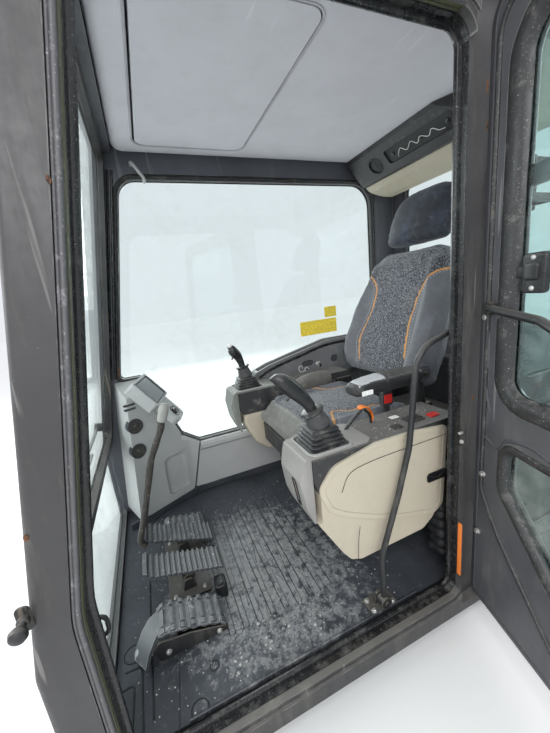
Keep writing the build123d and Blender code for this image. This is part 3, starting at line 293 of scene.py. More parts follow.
def trodden_mat(name, colour=(0.024, 0.026, 0.032), dust=(0.33, 0.335, 0.34)):
    """Floor mat: clean and dark at its edges, with trodden dust and crumbs where feet rest."""
    s = Shader(name, colour, 0.5)
    x, y = s.axis("X"), s.axis("Y")
    away = s.plus(s.math("POWER", s.times(s.math("SUBTRACT", x, 0.34), 2.2), 2.0),
        s.math("POWER", s.times(s.math("SUBTRACT", y, 0.14), 2.0), 2.0))
    near = s.ramp(away, 0.0, 1.0, 1.0, 0.0)
    cloud = s.noise(34, 9, 0.75)
    crumbs = s.ramp(s.noise(150, 5, 0.7), 0.50, 0.62)
    trodden = s.times(s.ramp(s.plus(cloud, s.times(near, 0.20)), 0.57, 0.74), near)
    grit = s.times(crumbs, s.ramp(s.plus(cloud, s.times(near, 0.16)), 0.56, 0.72))
    base = s.mix(s.ramp(s.noise(4, 3), 0.35, 0.65), colour, (0.052, 0.057, 0.068))
    base = s.mix(s.times(trodden, 0.6), base, dust)
    base = s.mix(s.times(grit, 0.6), base, (0.36, 0.35, 0.32))
    s.colour(base)
    s.rough(s.ramp(cloud, 0.35, 0.75, 0.36, 0.8))
    s.bump(s.plus(s.noise(420, 3), s.times(grit, 1.4)), 0.35, 0.0009, 0.0012)


def bare_steel(name, colour=(0.40, 0.39, 0.37), dark=(0.05, 0.045, 0.042), share=(0.42, 0.6), gloss=0.38):
    """Steel worn bright with dark dirt in the hollows."""
    s = Shader(name, colour, gloss, 0.75)
    cloud = s.noise(34, 8, 0.72)
    fine = s.noise(190, 4, 0.6)
    dirt = s.ramp(s.plus(s.times(cloud, 0.6), s.times(fine, 0.4)), *share)
    base = s.mix(dirt, colour, dark)
    base = s.mix(s.times(s.facing_up(0.5, 1.0), 0.25), base, (0.28, 0.27, 0.25))
    s.colour(base)
    s.metal(s.ramp(dirt, 0.0, 1.0, 0.8, 0.1))
    s.rough(s.ramp(fine, 0.3, 0.8, gloss, gloss + 0.35))
    s.bump(s.plus(fine, s.times(cloud, 0.6)), 0.4, 0.0008, 0.001)


def clear_glass(name, tint=(0.93, 0.975, 0.965), haze=(0.66, 0.65, 0.61), dirt=0.07):
    """Thin clear pane with a little haze and dried spots."""
    s = Shader(name, tint, 0.02)
    nodes, links = s.tree.nodes, s.tree.links
    cloud = s.noise(5, 8, 0.72)
    spots = s.ramp(s.cells(75), 0.05, 0.13, 1.0, 0.0)
    low = s.ramp(s.axis("Z"), 0.4, 1.1, 1.0, 0.3)
    amount = s.times(s.plus(s.ramp(cloud, 0.45, 0.8, 0.0, dirt * 2.4), s.times(spots, dirt * 0.7)), low)
    through = s.add("ShaderNodeBsdfTransparent", values={"Color": (*tint, 1)}).outputs[0]
    shine = s.add("ShaderNodeBsdfGlossy", values={"Color": (1, 1, 1, 1), "Roughness": 0.03}).outputs[0]
    facing = s.add("ShaderNodeLayerWeight", values={"Blend": 0.5}).outputs["Facing"]
    edge = s.plus(s.times(s.math("POWER", facing, 4.0), 0.6), 0.025)
    pane = s.add("ShaderNodeMixShader", {0: edge, 1: through, 2: shine}).outputs[0]
    film = s.add("ShaderNodeBsdfDiffuse", values={"Color": (*haze, 1)}).outputs[0]
    whole = s.add("ShaderNodeMixShader", {0: amount, 1: pane, 2: film}).outputs[0]
    nodes.remove(s.main)
    links.new(whole, nodes["Material Output"].inputs["Surface"])


def speckled_fabric(name, dark=(0.018, 0.020, 0.026), light=(0.30, 0.31, 0.34)):
    """Woven seat cloth in dark yarn with pale flecks and blue-grey slubs."""
    s = Shader(name, dark, 0.92, sheen_weight=0.25)
    flecks = s.add("ShaderNodeTexVoronoi", {"Vector": s.stretched((1.0, 1.0, 0.62), (0.35, 0.2, 0.5))},
        {"Scale": 520.0}, feature="F1").outputs["Color"]
    pick = s.axis("X", flecks)
    weave = s.noise(900, 2)
    base = s.mix(s.ramp(pick, 0.46, 0.98), dark, light)
    base = s.mix(s.ramp(s.noise(240, 3), 0.52, 0.68), base, (0.055, 0.062, 0.085))
    base = s.mix(s.times(s.ramp(s.noise(8, 6), 0.5, 0.75), 0.3), base, (0.26, 0.25, 0.24))
    s.colour(base)
    s.bump(s.plus(s.times(pick, 0.7), weave), 0.55, 0.0010)


def soft_cloth(name, colour, light=None, dust=0.15, weave=900.0, rough=0.8):
    """Plain tight cloth or vinyl for the sides of the seat."""
    s = Shader(name, colour, rough, sheen_weight=0.15)
    cloud = s.noise(9, 7, 0.66)
    base = s.mix(s.ramp(cloud, 0.4, 0.7), colour, light or paler(colour, 1.3, 0.01))
    base = s.mix(s.times(s.ramp(s.noise(38, 7, 0.7), 0.52, 0.72), dust), base, (0.33, 0.32, 0.30))
    s.colour(base)
    s.rough(s.ramp(cloud, 0.3, 0.8, rough - 0.1, min(1.0, rough + 0.1)))
    s.bump(s.plus(s.noise(weave, 2), s.times(cloud, 0.3)), 0.3, 0.0006)


def plain(name, colour, rough=0.5, speck=0.0, **sockets):
    """Small clean part with a little grain in its colour and gloss."""
    s = Shader(name, colour, rough, **sockets)
    grain = s.noise(120.0, 4)
    s.colour(s.mix(s.ramp(grain, 0.4, 0.7), colour, paler(colour, 1 + speck, 0.02 * speck)))
    s.rough(s.ramp(grain, 0.3, 0.8, max(0.02, rough - 0.06), min(1, rough + 0.12)))
    s.bump(s.noise(700, 2), 0.15, 0.0003)


def plane(origin, x_dir, z_dir):
    """Maps (u, v, w) in a plane to a point, all in millimetres."""
    origin, along, out = Vector(origin), Vector(x_dir).normalized(), Vector(z_dir).normalized()
    up = out.cross(along)
    return lambda u, v, w=0.0: origin + along * u + up * v + out * w


def side(y, out=1):
    """The plane of a side wall: u is X, v is Z and w grows out of it along Y."""
    return lambda u, v, w=0.0: Vector((u, y + out * w, v))


def across(x, out=1):
    """The plane of a cross wall: u is Y, v is Z and w grows out of it along X."""
    return lambda u, v, w=0.0: Vector((x + out * w, u, v))


def plan(z, out=1):
    """The plane of a floor or roof: u is X, v is Y and w grows out of it along Z."""
    return lambda u, v, w=0.0: Vector((u, v, z + out * w))


def opened(place):
    """Turns a plane on the shut door to where the open door stands."""
    swing = Matrix.Rotation(math.radians(DOOR_OPEN_ANGLE), 3, "Z")
    axis = Vector((DOOR_AXIS_X, DOOR_AXIS_Y, 0))
    return lambda u, v, w=0.0: axis + swing @ (place(u, v, w) - axis)


def circle(sides):
    """Cosine and sine of equal turns."""
    return [(math.cos(t), math.sin(t)) for t in (2 * math.pi * k / sides for k in range(sides))]


def course(points, closed=False):
    """Each point of a line with the direction of the line there."""
    count = len(points)
    for i, here in enumerate(points):
        before = points[i - 1] if i or closed else here
        after = points[(i + 1) % count] if i + 1 < count or closed else here
        yield here, (after - before).normalized()


def rectangle(u, v):
    return [(u[0], v[0]), (u[1], v[0]), (u[1], v[1]), (u[0], v[1])]


def rounded(points, radii, step=12.0, closed=True):
    """Outline with an arc at each corner."""
    count = len(points)
    radii = radii if isinstance(radii, (list, tuple)) else [radii] * count
    line = []
    for i in range(count):
        here, before, after = Vector(points[i]), Vector(points[i - 1]), Vector(points[(i + 1) % count])
        ends = not closed and i in (0, count - 1)
        into, away = (here - before).normalized(), (after - here).normalized()
        cross = into.x * away.y - into.y * away.x
        turn = math.atan2(abs(cross), into.dot(away))
        if ends or radii[i] <= 0 or turn < 0.02:
            line.append(here)
            continue
        hand = 1 if cross > 0 else -1
        start = here - into * radii[i] * math.tan(turn / 2)
        centre = start + Vector((-into.y, into.x)) * hand * radii[i]
        steps = max(2, int(math.degrees(turn) / step))
        for k in range(steps + 1):
            line.append(centre + Matrix.Rotation(hand * turn * k / steps, 2) @ (start - centre))
    return line


def oblong(low_u, high_u, low_v, high_v, radius, step=12.0):
    """Rectangle with rounded corners."""
    return rounded(rectangle((low_u, high_u), (low_v, high_v)), radius, step)


def widened(line, amount):
    """Closed outline moved outwards by an amount, or inwards by a negative one."""
    count = len(line)
    area = sum(line[i - 1].x * line[i].y - line[i].x * line[i - 1].y for i in range(count))
    hand = 1 if area > 0 else -1
    moved = []
    for i in range(count):
        into = (line[i] - line[i - 1]).normalized()
        away = (line[(i + 1) % count] - line[i]).normalized()
        first, second = Vector((into.y, -into.x)) * hand, Vector((away.y, -away.x)) * hand
        moved.append(line[i] + (first + second) * (amount / max(0.35, 1 + first.dot(second))))
    return moved


def ellipse(centre, half_u, half_v, count=32, power=2.0):
    """Ellipse, or a squarer oval where the power is above two."""
    line = []
    for k in range(count):
        turn = 2 * math.pi * k / count
        c, s = math.cos(turn), math.sin(turn)
        line.append(Vector((centre[0] + half_u * math.copysign(abs(c) ** (2 / power), c),
            centre[1] + half_v * math.copysign(abs(s) ** (2 / power), s))))
    return line


def dome(width, height, foot=0.0, steps=8):
    """Section of a strip with a rounded top, as (side, out) points."""
    arc = [(-width / 2 * math.cos(math.pi * k / steps), foot + (height - foot) * math.sin(math.pi * k / steps))
        for k in range(steps + 1)]
    return [(-width / 2, min(0.0, foot))] + arc + [(width / 2, min(0.0, foot))] if foot else arc


def smooth_line(points, steps=6):
    """Catmull-Rom curve through the points."""
    points = [Vector(p) for p in points]
    points = [points[0] * 2 - points[1], *points, points[-1] * 2 - points[-2]]
    line = []
    for p0, p1, p2, p3 in zip(points, points[1:], points[2:], points[3:]):
        for t in (k / steps for k in range(steps)):
            line.append(0.5 * ((2 * p1) + (p2 - p0) * t + (2 * p0 - 5 * p1 + 4 * p2 - p3) * t * t
                + (3 * p1 - p0 - 3 * p2 + p3) * t ** 3))
    return line + [points[-2]]


class Piece:
    """Gathers closed shapes, given in millimetres, into one object."""

    def __init__(self, name, body, slot, *finishes):
        self.name, self.body, self.slot, self.finishes = name, body, slot, finishes
        self.mesh = bmesh.new()

    def add(self, rows, finish=0, ring=False):
        """Skin over closed rows of points, capped at its ends; ring joins the last row to the first instead."""
        made = [[self.mesh.verts.new(Vector(p) * MM) for p in row] for row in rows]
        faces = []
        count = len(made[0])
        for a, b in zip(made, made[1:] + made[:1] if ring else made[1:]):
            for k in range(count):
                n = (k + 1) % count
                faces.append(self.mesh.faces.new((a[k], a[n], b[n], b[k])))
        if not ring:
            faces.append(self.mesh.faces.new(made[0][::-1]))
            faces.append(self.mesh.faces.new(made[-1]))
        for face in faces:
            face.material_index = finish
            face.smooth = True
        bmesh.ops.recalc_face_normals(self.mesh, faces=faces)
        return self

    def slab(self, place, line, low, high, edge=0.0, finish=0):
        """Plate of an outline between two heights, with its top edge rounded."""
        line = [Vector(p) for p in line]
        arc = [(edge * (1 - math.cos(a)), edge * (1 - math.sin(a))) for a in map(math.radians, (0, 30, 60, 90))]
        levels = [(0.0, low)] + ([(inn, high - down) for inn, down in arc] if edge else [(0.0, high)])
        rows = [[place(p.x, p.y, w) for p in (widened(line, -inn) if inn else line)] for inn, w in levels]
        return self.add(rows, finish=finish)

    def band(self, place, line, section, finish=0, closed=True):
        """Section of (inwards, out) points carried along an outline."""
        line = [Vector(p) for p in line]
        if not closed:
            return self.open_band(place, line, section, finish)
        rows = []
        for inwards, out in section:
            rows.append([place(p.x, p.y, out) for p in widened(line, -inwards)])
        return self.add(rows, ring=True, finish=finish)

    def open_band(self, place, line, section, finish=0):
        points = [place(p.x, p.y, 0.0) for p in line]
        outs = [place(p.x, p.y, 1.0) - place(p.x, p.y, 0.0) for p in line]
        return self.strip(points, outs, section, finish)

    def strip(self, points, outs, section, finish=0):
        """Section of (sideways, out) points carried along a line in space, with its outward direction."""
        points = [Vector(p) for p in points]
        outs = outs if isinstance(outs, list) else [outs] * len(points)
        rows = []
        for (here, along), out in zip(course(points), outs):
            out = Vector(out)
            out = (out - along * out.dot(along)).normalized()
            sideways = along.cross(out)
            rows.append([here + sideways * a + out * b for a, b in section])
        return self.add(rows, finish=finish)

    def tube(self, points, radius, finish=0, sides=12, closed=False, flat=1.0):
        """Round bar along a line; the radius may be a list, one for each point."""
        points = [Vector(p) for p in points]
        radii = radius if isinstance(radius, list) else [radius] * len(points)
        rows, up = [], None
        for (here, along), wide in zip(course(points, closed), radii):
            if up is None:
                up = along.orthogonal()
            up = (up - along * up.dot(along)).normalized()
            right = along.cross(up)
            rows.append([here + (right * c + up * s * flat) * wide for c, s in circle(sides)])
        return self.add(rows, ring=closed, finish=finish)

    def lathe(self, origin, axis, profile, finish=0, sides=24):
        """Turned shape: (radius, height) points about an axis."""
        origin, axis = Vector(origin), Vector(axis).normalized()
        right = axis.orthogonal().normalized()
        up = axis.cross(right)
        rows = [[origin + axis * height + (right * c + up * s) * max(radius, LEAST_RADIUS) for c, s in circle(sides)]
            for radius, height in profile]
        return self.add(rows, finish=finish)

    def hexagon(self, origin, axis, width, height, finish=0):
        """Bolt head with a chamfered top, on its washer."""
        origin, axis = Vector(origin), Vector(axis).normalized()
        self.lathe(origin, axis, [(width * 0.72, 0), (width * 0.72, height * 0.22), (width * 0.66, height * 0.27),
            (0, height * 0.27)], finish, 20)
        right = axis.orthogonal().normalized()
        up = axis.cross(right)
        rows = [[origin + axis * height * level + (right * c + up * s) * width * share for c, s in circle(6)]
            for share, level in ((0.577, 0.27), (0.577, 0.85), (0.48, 1.0))]
        return self.add(rows, finish=finish)

    def done(self, *replaced, sharp=35.0):
        """Makes the object, rides it on its body and hides the CAD parts it stands for."""
        mesh = bpy.data.meshes.new(self.name)
        bmesh.ops.triangulate(self.mesh, faces=[f for f in self.mesh.faces if len(f.verts) > 4])
        self.mesh.to_mesh(mesh)
        self.mesh.free()
        for finish in self.finishes:
            mesh.materials.append(stock(finish))
        mesh.set_sharp_from_angle(angle=math.radians(sharp))
        return settle(self.name, mesh, self.body, self.slot, *replaced)


def linked(name, data):
    """A new object in the scene."""
    made = bpy.data.objects.new(name, data)
    bpy.context.scene.collection.objects.link(made)
    return made


def settle(name, mesh, body, slot, *replaced):
    """Puts a finished mesh in the scene on its body."""
    piece = linked(name, mesh)
    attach(piece, body)
    if replaced:
        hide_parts(*replaced)
    return piece


class Tree(Nodes):
    """One Geometry Nodes tree, from its named inputs to its one geometry output."""

    def __init__(self, name, *sockets):
        super().__init__(bpy.data.node_groups.new(name, "GeometryNodeTree"))
        made = self.tree.interface.new_socket
        made("Geometry", in_out="INPUT", socket_type="NodeSocketGeometry")
        for label, kind, default in sockets:
            socket = made(label, in_out="INPUT", socket_type="NodeSocket" + kind)
            if default is not None:
                socket.default_value = default
        made("Geometry", in_out="OUTPUT", socket_type="NodeSocketGeometry")
        self.given = self.tree.nodes.new("NodeGroupInput").outputs

    def get(self, kind, links=None, values=None, **settings):
        return self.add(kind, links, values, **settings).outputs

    def finish(self, geometry):
        """Gives the geometry its finish and joins it to the output."""
        real = self.get("GeometryNodeRealizeInstances", {"Geometry": geometry})[0]
        dressed = self.get("GeometryNodeSetMaterial", {"Geometry": real, "Material": self.given["Finish"]})[0]
        self.tree.links.new(dressed, self.tree.nodes.new("NodeGroupOutput").inputs[0])
        return self.tree


def repeat_tree():
    """Sets one piece on every point, turned as the point says, with a little spread in size and turn."""
    t = Tree("Repeated Piece", ("Piece", "Object", None), ("Size", "Float", 1.0), ("Size Spread", "Float", 0.0),
        ("Turn Spread", "Float", 0.0), ("Seed", "Int", 1), ("Finish", "Material", None))
    piece = t.get("GeometryNodeObjectInfo", {"Object": t.given["Piece"]})["Geometry"]
    turn = t.get("GeometryNodeInputNamedAttribute", values={"Name": "turn"}, data_type="FLOAT_VECTOR")["Attribute"]
    faced = t.get("FunctionNodeEulerToRotation", {"Euler": turn})["Rotation"]
    chance = t.get("FunctionNodeRandomValue", {"Seed": t.given["Seed"]}, data_type="FLOAT")[1]
    offset = t.math("SUBTRACT", chance, 0.5)
    grow = t.plus(1.0, t.times(offset, t.given["Size Spread"]))
    size = t.times(t.given["Size"], grow)
    placed = t.get("GeometryNodeInstanceOnPoints", {"Points": t.given["Geometry"], "Instance": piece,
        "Rotation": faced, "Scale": size})["Instances"]
    spin = t.get("ShaderNodeCombineXYZ", {"Z": t.times(offset, t.given["Turn Spread"])})[0]
    turned = t.get("GeometryNodeRotateInstances", {"Instances": placed, "Rotation": spin})["Instances"]
    return t.finish(turned)


def stitch_tree():
    """Thread lengths along a seam line, each a small spindle."""
    t = Tree("Stitched Seam", ("Pitch", "Float", 0.009), ("Stitch Length", "Float", 0.006),
        ("Thread", "Float", 0.0011), ("Finish", "Material", None))
    line = t.get("GeometryNodeMeshToCurve", {"Mesh": t.given["Geometry"]})["Curve"]
    even = t.get("GeometryNodeResampleCurve", {"Curve": line, "Length": t.given["Pitch"]}, mode="LENGTH")["Curve"]
    spindle = t.get("GeometryNodeMeshUVSphere", values={"Segments": 6, "Rings": 5, "Radius": 0.5})["Mesh"]
    shape = t.get("ShaderNodeCombineXYZ", {"X": t.given["Stitch Length"], "Y": t.given["Thread"],
        "Z": t.given["Thread"]})[0]
    thread = t.get("GeometryNodeTransform", {"Geometry": spindle, "Scale": shape})["Geometry"]
    along = t.get("GeometryNodeInputTangent")["Tangent"]
    faced = t.get("FunctionNodeAlignRotationToVector", {"Vector": along}, axis="X")["Rotation"]
    placed = t.get("GeometryNodeInstanceOnPoints", {"Points": even, "Instance": thread,
        "Rotation": faced})["Instances"]
    return t.finish(placed)


def bellows_tree():
    """Square bellows with rounded corners along a line, wide at its foot and narrow at its top."""
    t = Tree("Bellows", ("Foot Width", "Float", 0.116), ("Top Width", "Float", 0.05), ("Fold Depth", "Float", 0.006),
        ("Folds", "Int", 5), ("Corner", "Float", 0.3), ("Finish", "Material", None))
    line = t.get("GeometryNodeMeshToCurve", {"Mesh": t.given["Geometry"]})["Curve"]
    count = t.plus(t.times(t.given["Folds"], 10.0), 1.0)
    even = t.get("GeometryNodeResampleCurve", {"Curve": line, "Count": count})["Curve"]
    share = t.get("GeometryNodeSplineParameter")["Factor"]
    span = t.math("SUBTRACT", t.given["Top Width"], t.given["Foot Width"])
    taper = t.plus(t.given["Foot Width"], t.times(span, share))
    wave = t.math("COSINE", t.times(t.times(share, t.given["Folds"]), 2 * math.pi))
    lobes = t.math("POWER", t.plus(t.times(wave, -0.5), 0.5), 0.6)
    width = t.plus(t.times(taper, 0.5), t.times(lobes, t.given["Fold Depth"]))
    square = t.get("GeometryNodeCurvePrimitiveQuadrilateral", values={"Width": 2.0, "Height": 2.0})["Curve"]
    rounded_square = t.get("GeometryNodeFilletCurve", {"Curve": square, "Radius": t.given["Corner"]}, {"Count": 5},
        mode="POLY")["Curve"]
    skin = t.get("GeometryNodeCurveToMesh", {"Curve": even, "Profile Curve": rounded_square, "Scale": width},
        {"Fill Caps": True})["Mesh"]
    return t.finish(skin)


def shaped(tree, points, edges, values, turns=None):
    """Runs a tree on points in millimetres and gives back its plain mesh."""
    data = bpy.data.meshes.new("points")
    data.from_pydata([Vector(p) * MM for p in points], edges, [])
    if turns is not None:
        attribute = data.attributes.new("turn", "FLOAT_VECTOR", "POINT")
        attribute.data.foreach_set("vector", [c for turn in turns for c in turn])
    carrier = linked("carrier", data)
    modifier = carrier.modifiers.new("shape", "NODES")
    modifier.node_group = tree
    for item in tree.interface.items_tree:
        if item.item_type == "SOCKET" and item.in_out == "INPUT" and item.name in values:
            modifier[item.identifier] = values[item.name]
    graph = bpy.context.evaluated_depsgraph_get()
    mesh = bpy.data.meshes.new_from_object(carrier.evaluated_get(graph), depsgraph=graph)
    bpy.data.objects.remove(carrier)
    return mesh


TREES = {}


def tree_named(name):
    """Each Geometry Nodes tree is built once."""
    if name not in TREES:
        TREES[name] = {"repeat": repeat_tree, "stitch": stitch_tree, "bellows": bellows_tree}[name]()
    return TREES[name]


def template(make):
    """Small piece at the origin, in millimetres, for a tree to repeat."""
    maker = Piece("template", None, None)
    make(maker)
    mesh = bpy.data.meshes.new("template")
    maker.mesh.to_mesh(mesh)
    maker.mesh.free()
    mesh.set_sharp_from_angle(angle=math.radians(40))
    return linked("template", mesh)


def repeated(name, body, slot, finish, make, points, outs, size=1.0, size_spread=0.0, turn_spread=0.0, seed=1):
    """One object of equal pieces: at each point, with the piece's Z axis along the given direction."""
    piece = template(make)
    outs = outs if isinstance(outs, list) else [outs] * len(points)
    turns = [Vector(o).to_track_quat("Z", "Y").to_euler() for o in outs]
    mesh = shaped(tree_named("repeat"), points, [], {"Piece": piece, "Size": size, "Size Spread": size_spread,
        "Turn Spread": turn_spread, "Seed": seed, "Finish": stock(finish)}, turns)
    bpy.data.objects.remove(piece)
    return settle(name, mesh, body, slot)


def stitched(name, body, lines, finish, pitch, length, thread):
    """Seam stitches along lines in millimetres."""
    points, edges = [], []
    for line in lines:
        first = len(points)
        points += [tuple(p) for p in line]
        edges += [(first + k, first + k + 1) for k in range(len(line) - 1)]
    mesh = shaped(tree_named("stitch"), points, edges, {"Pitch": pitch * MM, "Stitch Length": length * MM,
        "Thread": thread * MM, "Finish": stock(finish)})
    for face in mesh.polygons:
        face.use_smooth = True
    return settle(name, mesh, body, "seat_fabric")


def bellows(name, body, slot, finish, low, high, foot, top, depth, folds, *replaced, corner=0.3, crumple=0.0):
    """Rubber bellows between two heights on a line."""
    mesh = shaped(tree_named("bellows"), [low, high], [(0, 1)], {"Foot Width": foot * MM, "Top Width": top * MM,
        "Fold Depth": depth * MM, "Folds": folds, "Corner": corner, "Finish": stock(finish)})
    for face in mesh.polygons:
        face.use_smooth = True
    mesh.set_sharp_from_angle(angle=math.radians(60))
    if crumple:
        chance = random.Random(5)
        waves = [(Vector([chance.uniform(-1, 1) for _ in range(3)]) * 90, chance.uniform(0, 6)) for _ in range(9)]
        for vertex in mesh.vertices:
            push = sum(math.sin(wave.dot(vertex.co) + shift) for wave, shift in waves) / 9
            vertex.co += vertex.normal * push * crumple * MM
    return settle(name, mesh, body, slot, *replaced)


def stock(name):
    """A material by its name, which is the frame's own plain one where the frame has that name."""
    return bpy.data.materials[name]


def dress(name, finish):
    """Gives a CAD node its finish."""
    mesh = NODES[name].data
    mesh.materials.clear()
    mesh.materials.append(FINISHES[finish])


def bolt_head(piece, width=13.0, height=8.0):
    piece.hexagon((0, 0, 0), UP, width, height)


def stage_floor(size, height, colour):
    """A wide floor whose bounced light is a little warmer than its looks."""
    mesh = bpy.data.meshes.new("floor")
    half = size / 2
    mesh.from_pydata([(-half, -half, height), (half, -half, height), (half, half, height), (-half, half, height)], [],
        [(0, 1, 2, 3)])
    floor = linked("floor", mesh)
    s = Shader("pale_floor", colour, 0.9)
    ray = s.add("ShaderNodeLightPath").outputs
    seen = s.math("MAXIMUM", ray["Is Camera Ray"], s.math("MAXIMUM", ray["Is Glossy Ray"],
        ray["Is Transmission Ray"]))
    s.colour(s.mix(seen, BOUNCED_FLOOR, colour))
    mesh.materials.append(s.material)


def area_lamp(name, place, target, size, power):
    data = bpy.data.lights.new(name, "AREA")
    data.energy = power
    data.size = size
    lamp = linked(name, data)
    lamp.location = place
    lamp.rotation_mode = "QUATERNION"
    lamp.rotation_quaternion = (Vector(target) - Vector(place)).to_track_quat("-Z", "Y")


class CabStageSettings(bpy.types.PropertyGroup):
    """Sizes and levels of the floor and lamps."""
    floor_size: FloatProperty(name="Floor size", description="Side of the floor", default=40.0, unit="LENGTH")
    floor_colour: FloatVectorProperty(name="Floor colour", description="Colour of the floor", subtype="COLOR",
        default=(0.80, 0.80, 0.79))
    sky_level: FloatProperty(name="Sky level", description="Strength of the even light all round", default=1.15)
    key_power: FloatProperty(name="Key lamp", description="Power of the large lamp in front of the door",
        default=100.0, unit="POWER")
    fill_power: FloatProperty(name="Fill lamp", description="Power of the lamps at the other sides", default=80.0,
        unit="POWER")


class CAB_OT_stage(bpy.types.Operator):
    """Makes the camera, the floor, the lamps and the sky"""
    bl_idname = "cab.stage"
    bl_label = "Stage"

    def execute(self, context):
        settings = context.scene.cab_stage
        scene = context.scene
        data = bpy.data.cameras.new("photo_camera")
        data.sensor_width = SENSOR
        data.lens = FOCAL_PIXELS / PHOTO_HEIGHT * SENSOR
        data.clip_start = 0.02
        camera = linked("photo_camera", data)
        right, down, ahead = Vector(CAMERA_RIGHT), Vector(CAMERA_DOWN), Vector(CAMERA_FORWARD)
        camera.matrix_world = Matrix.Translation(CAMERA_PLACE) @ Matrix((right, -down, -ahead)).transposed().to_4x4()
        scene.camera = camera
        stage_floor(settings.floor_size, CAD_BOX[0].z, tuple(settings.floor_colour))
        area_lamp("door_lamp", (1.6, 3.4, 2.6), (0.1, 0.0, 0.9), 2.4, settings.key_power)
        area_lamp("front_lamp", (4.0, -0.6, 2.4), (0.2, 0.0, 0.9), 2.2, settings.fill_power)
        area_lamp("right_lamp", (0.2, -3.8, 2.2), (0.0, 0.0, 1.0), 2.4, settings.fill_power)
        area_lamp("rear_lamp", (-3.6, 0.4, 2.4), (0.0, 0.0, 1.0), 2.2, settings.fill_power * 0.7)
        world = bpy.data.worlds.new("studio_sky")
        world.use_nodes = True
        sky = Nodes(world.node_tree)
        back = sky.tree.nodes["Background"]
        back.inputs["Color"].default_value = SKY_COLOUR
        ray = sky.add("ShaderNodeLightPath").outputs
        seen = sky.math("MAXIMUM", ray["Is Camera Ray"], ray["Is Transmission Ray"])
        level = sky.add("ShaderNodeMapRange", {"Value": seen}, {"To Min": settings.sky_level, "To Max": SEEN_SKY})
        sky.tree.links.new(level.outputs["Result"], back.inputs["Strength"])
        scene.world = world
        scene.view_settings.view_transform = "Standard"
        return {"FINISHED"}


